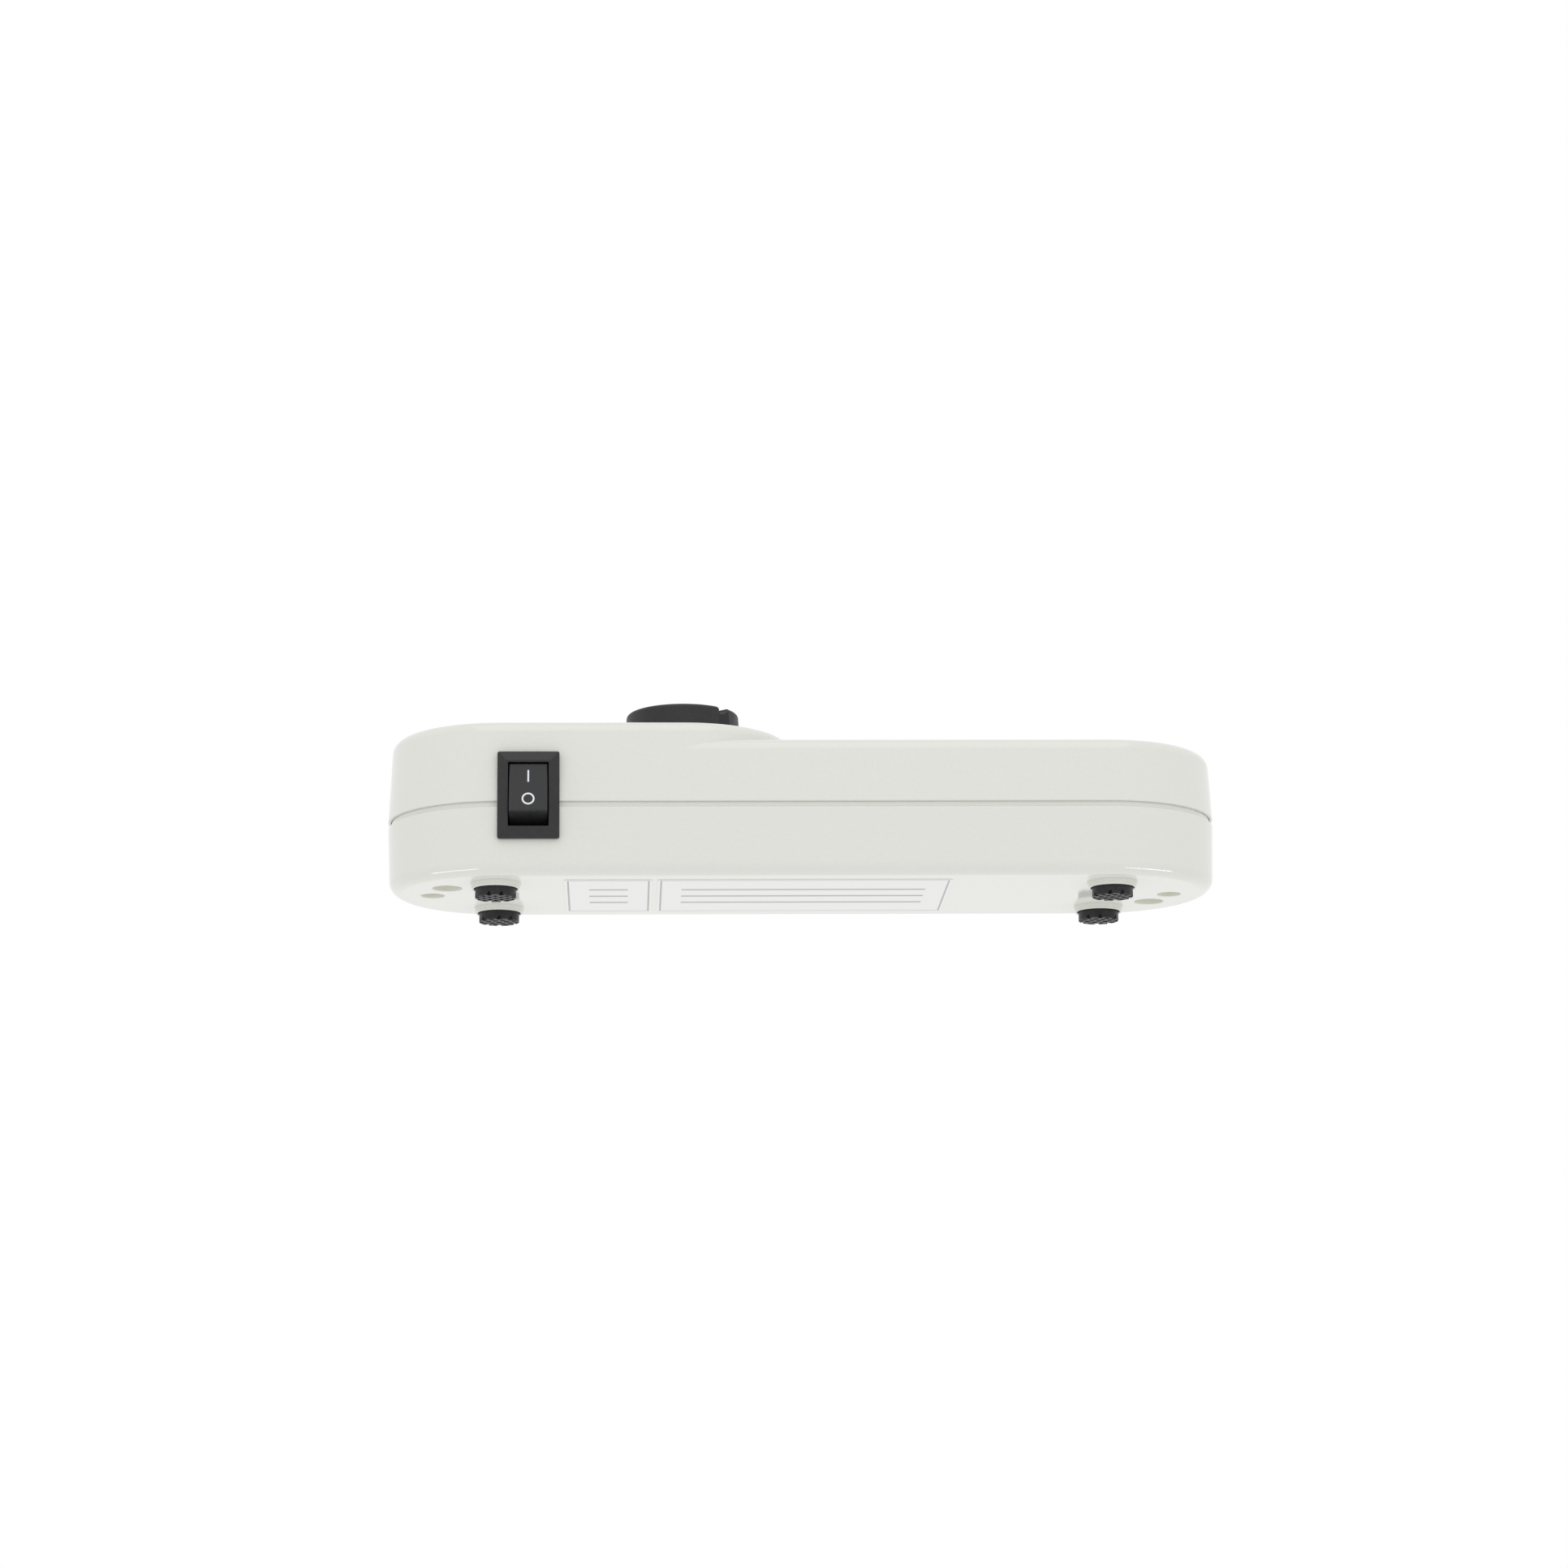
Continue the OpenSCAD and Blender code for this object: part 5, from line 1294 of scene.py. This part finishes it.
class AMP_OT_coaxial_sockets(bpy.types.Operator):
    """Models the coaxial sockets with their insulators and centre contacts"""

    bl_idname = "amp.coaxial_sockets"
    bl_label = "Coaxial sockets"

    def socket(self, sizes, low, high, x, z):
        """One socket: a block on the board and a round barrel through the rear wall."""
        mouth, edge = high.y, sizes.edge
        body = block("socket", low, (high.x, low.y + sizes.block_d, low.z + sizes.block_h))
        rounded(body, edge)
        barrel_r, bore_r = sizes.barrel_d / 2, sizes.bore_d / 2
        nose = arc((barrel_r - edge, mouth - edge), edge, 0, 90, 4)
        barrel = turned("barrel", [(barrel_r, low.y + sizes.block_d - PAST)] + nose)
        cut(body, put(barrel, along_y((x, 0, z))), "UNION")
        seat = mouth - sizes.depth - sizes.insulator_t
        cut(body, put(flared_bore(bore_r, seat, mouth, edge), along_y((x, 0, z))))
        back = turned("back", [(sizes.back_d / 2, low.y - PAST), (sizes.back_d / 2, seat + PAST)])
        cut(body, put(back, along_y((x, 0, z))))
        return cleaned(body)

    def insulator(self, sizes, mouth, x, z):
        """White disc that holds the contact."""
        front = mouth - sizes.depth
        back = front - sizes.insulator_t
        radius, edge = sizes.bore_d / 2 - sizes.fit, 0.2 * MM
        disc = turned("insulator", [(radius - edge, back), (radius, back + edge), (radius, front - edge),
                                    (radius - edge, front)])
        hole_r = sizes.contact_d / 2 + sizes.fit
        cut(disc, turned("hole", [(hole_r, back - PAST), (hole_r, front + PAST)], PIN_SIDES))
        return put(cleaned(disc), along_y((x, 0, z)))

    def contact(self, sizes, mouth, x, z):
        """Split brass tube that takes the plug's pin."""
        front, floor = mouth - sizes.contact_in, mouth - sizes.depth
        tail = floor - sizes.insulator_t - sizes.contact_tail
        radius, bore_r, edge = sizes.contact_d / 2, sizes.contact_bore_d / 2, 0.25 * MM
        outside = [(radius - edge, tail), (radius, tail + edge), (radius, front - edge),
                   (radius - edge, front)]
        inside = [(bore_r + edge / 2, front), (bore_r, front - edge), (bore_r, floor)]
        tube = turned("contact", outside + inside, PIN_SIDES)
        half = sizes.slit_w / 2
        for wide, tall in ((radius + PAST, half), (half, radius + PAST)):
            cut(tube, block("slit", (-wide, -tall, floor + PAST), (wide, tall, front + PAST)))
        return put(cleaned(tube), along_y((x, 0, z)))

    def execute(self, context):
        sizes, z = context.scene.amp_sockets, socket_height()
        insulators, contacts = [], []
        for name in SOCKETS:
            low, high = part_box(name)
            x = (low.x + high.x) / 2
            socket = self.socket(sizes, low, high, x, z)
            socket.name = name.replace("socket", "coaxial_barrel")
            insulators.append(self.insulator(sizes, high.y, x, z))
            contacts.append(self.contact(sizes, high.y, x, z))
            fitted(socket, "case", name)
        for pieces, name, node in ((insulators, "polythene_discs", "socket_insulators"),
                                   (contacts, "split_contacts", "socket_contacts")):
            group = joined(pieces)
            group.name = name
            fitted(group, "case", node)
        return {"FINISHED"}


class AMP_OT_power_inlet(bpy.types.Operator):
    """Models the power socket and its centre pin"""

    bl_idname = "amp.power_inlet"
    bl_label = "Power socket"

    def execute(self, context):
        sizes = context.scene.amp_sockets
        low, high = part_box("power_pin")
        x, z = (low.x + high.x) / 2, (low.z + high.z) / 2
        inlet = block("power_inlet", INLET_LOW, INLET_HIGH)
        rounded(inlet, sizes.edge, 3)
        bore_r, edge, mouth = sizes.inlet_bore_d / 2, sizes.edge, INLET_HIGH.y
        cut(inlet, put(flared_bore(bore_r, mouth - sizes.inlet_depth, mouth, edge), along_y((x, 0, z))))
        pin_r, pin_gap, tip_r = (high.x - low.x) / 2, 0.03 * MM, 0.5 * MM
        hole = turned("hole", [(pin_r + pin_gap, low.y), (pin_r + pin_gap, mouth)], BORE_SIDES)
        cut(inlet, put(hole, along_y((x, 0, z))))
        fitted(cleaned(inlet), "case", "power_socket")
        tip = arc((pin_r - tip_r, high.y - tip_r), tip_r, 0, 90, 6)
        pin = turned("inlet_pin", [(pin_r, low.y)] + tip, BORE_SIDES)
        fitted(put(pin, along_y((x, 0, z))), "case", "power_pin")
        return {"FINISHED"}


class AMP_OT_inner_parts(bpy.types.Operator):
    """Gives the packed nodes that show as they are their finishes"""

    bl_idname = "amp.inner_parts"
    bl_label = "Inner parts"

    def execute(self, context):
        for name, node in NODES.items():
            if not node.hide_render:
                for slot in node.material_slots:
                    slot.material = finish(SLOT_OF[name])
        return {"FINISHED"}


# Stage

def looking(place, right, up, back):
    """Matrix of a camera or lamp at a place, from its own three directions."""
    return Matrix.Translation(place) @ Matrix((right, up, back)).transposed().to_4x4()


class AMP_OT_stage(bpy.types.Operator):
    """Sets the camera, the white surround, the soft lamps and the floor"""

    bl_idname = "amp.stage"
    bl_label = "Stage"

    def camera(self, scene, stage):
        """Camera at the photograph's viewing angle."""
        azimuth, elevation, roll = stage.azimuth, stage.elevation, stage.roll
        back = Vector((math.sin(azimuth) * math.cos(elevation), -math.cos(azimuth) * math.cos(elevation),
                       math.sin(elevation)))
        right = (-back).cross(Vector((0, 0, 1))).normalized()
        up = right.cross(-back)
        right, up = right * math.cos(roll) + up * math.sin(roll), up * math.cos(roll) - right * math.sin(roll)
        deselect()
        bpy.ops.object.camera_add()
        camera = bpy.context.object
        camera.matrix_world = looking(AIM + back * stage.distance, right, up, back)
        camera.data.lens = stage.lens
        camera.data.sensor_width = SENSOR
        camera.data.clip_start = NEAREST
        camera.data.clip_end = FURTHEST
        scene.camera = camera

    def surround(self, scene, stage):
        """White surround that lights the case evenly."""
        world = bpy.data.worlds.new("surround")
        scene.world = world
        world.use_nodes = True
        tree = world.node_tree
        tree.nodes.clear()
        path = add_node(tree, "ShaderNodeLightPath")
        seen = path.outputs["Is Camera Ray"]
        for name in ("Is Glossy Ray", "Is Transmission Ray"):
            seen = add_node(tree, "ShaderNodeMath", links={0: seen, 1: path.outputs[name]},
                            operation="MAXIMUM").outputs[0]
        light = add_node(tree, "ShaderNodeBackground", {"Color": WHITE, "Strength": stage.sky})
        white = add_node(tree, "ShaderNodeBackground", {"Color": WHITE, "Strength": 1})
        mix = add_node(tree, "ShaderNodeMixShader", links={0: seen, 1: light.outputs[0], 2: white.outputs[0]})
        add_node(tree, "ShaderNodeOutputWorld", links={"Surface": mix.outputs[0]})

    def floor(self, stage):
        """Pale floor that takes the shadow from above and is clear from below."""
        deselect()
        bpy.ops.mesh.primitive_plane_add(size=stage.floor)
        floor = bpy.context.object
        floor.name = "floor"
        material = bpy.data.materials.new("pale floor")
        material.use_nodes = True
        tree = material.node_tree
        tree.nodes.clear()
        paint = add_node(tree, "ShaderNodeBsdfDiffuse", {"Color": FLOOR_GREY})
        seen = add_node(tree, "ShaderNodeLightPath").outputs["Is Camera Ray"]
        glow = add_node(tree, "ShaderNodeEmission", {"Color": FLOOR_GLOW}, {"Strength": seen})
        lit = add_node(tree, "ShaderNodeAddShader", links={0: paint.outputs[0], 1: glow.outputs[0]})
        clear = add_node(tree, "ShaderNodeBsdfTransparent")
        side = add_node(tree, "ShaderNodeNewGeometry").outputs["Backfacing"]
        mix = add_node(tree, "ShaderNodeMixShader", links={0: side, 1: lit.outputs[0], 2: clear.outputs[0]})
        add_node(tree, "ShaderNodeOutputMaterial", links={"Surface": mix.outputs[0]})
        floor.data.materials.append(material)
        floor.visible_diffuse = False
        floor.visible_glossy = False
        floor.visible_shadow = False

    def lamp(self, place, width, height, power, along=(0, 0, 1)):
        """Soft lamp that faces the case, with its width along a direction."""
        back = Vector(place).normalized()
        across = Vector(along).cross(back).normalized()
        deselect()
        bpy.ops.object.light_add(type="AREA")
        lamp = bpy.context.object
        lamp.matrix_world = looking(place, across.cross(back), across, back)
        lamp.data.shape = "RECTANGLE"
        lamp.data.size, lamp.data.size_y = width, height
        lamp.data.energy = power
        lamp.visible_camera = False
        return lamp

    def execute(self, context):
        scene, stage = context.scene, context.scene.amp_stage
        scene.view_settings.view_transform = "Standard"
        self.camera(scene, stage)
        self.surround(scene, stage)
        self.floor(stage)
        # Each lamp has its place, width and height in metres. The key and back lamps aren't mirrored.
        key = self.lamp((0, -0.95, 0.75), 1.2, 1.2, stage.key)
        key.visible_glossy = False
        # The panel only shines back from the dark pieces' upper edges.
        panel = self.lamp((0, -0.62, 0.93), 1.2, 1.0, stage.panel)
        panel.visible_diffuse = False
        back = self.lamp((0, 0.5, -0.95), 0.9, 0.9, stage.back)
        back.visible_glossy = False
        for side in (-1, 1):
            self.lamp((1.1 * side, -0.3, 0.35), 1.6, 1.6, stage.side)
            # The strips only draw a thin highlight along the bottom edge's round ends.
            strip = self.lamp((0.72 * side, -0.3, -0.93), 0.9, 0.13, stage.strip, (0.54 * side, 0.68, 0.27))
            strip.visible_diffuse = False
        return {"FINISHED"}


STEPS = (
    AMP_OT_stage,
    AMP_OT_upper_shell,
    AMP_OT_lower_shell,
    AMP_OT_gain_knob,
    AMP_OT_switch_frame,
    AMP_OT_switch_rocker,
    AMP_OT_rocker_marks,
    AMP_OT_switch_spring,
    AMP_OT_feet,
    AMP_OT_labels,
    AMP_OT_screws,
    AMP_OT_coaxial_sockets,
    AMP_OT_power_inlet,
    AMP_OT_inner_parts,
)


class AMP_PT_sidebar(bpy.types.Panel):
    """Lists the amplifier's steps and sizes"""

    bl_idname = "AMP_PT_sidebar"
    bl_label = "Amplifier"
    bl_space_type = "VIEW_3D"
    bl_region_type = "UI"
    bl_category = "Amplifier"

    def draw(self, context):
        """Lists a button for each step, then the sizes and colours by group."""
        for step in STEPS:
            self.layout.operator(step.bl_idname)
        for name, group in GROUPS.items():
            box = self.layout.box()
            box.label(text=group.__doc__)
            for key in group.__annotations__:
                box.prop(getattr(context.scene, name), key)


CLASSES = (*GROUPS.values(), *STEPS, AMP_PT_sidebar)


def register():
    """Registers the groups, steps and panel, and hangs the groups on the scene."""
    for item in CLASSES:
        bpy.utils.register_class(item)
    for name, group in GROUPS.items():
        setattr(bpy.types.Scene, name, PointerProperty(type=group))


def unregister():
    """Takes the groups off the scene and unregisters every class."""
    for name in GROUPS:
        delattr(bpy.types.Scene, name)
    for item in reversed(CLASSES):
        bpy.utils.unregister_class(item)


def main():
    """Builds the amplifier step by step."""
    register()
    bpy.ops.amp.stage()
    bpy.ops.amp.upper_shell()
    bpy.ops.amp.lower_shell()
    bpy.ops.amp.gain_knob()
    bpy.ops.amp.switch_frame()
    bpy.ops.amp.switch_rocker()
    bpy.ops.amp.rocker_marks()
    bpy.ops.amp.switch_spring()
    bpy.ops.amp.feet()
    bpy.ops.amp.labels()
    bpy.ops.amp.screws()
    bpy.ops.amp.coaxial_sockets()
    bpy.ops.amp.power_inlet()
    bpy.ops.amp.inner_parts()


if __name__ == "__main__":
    main()
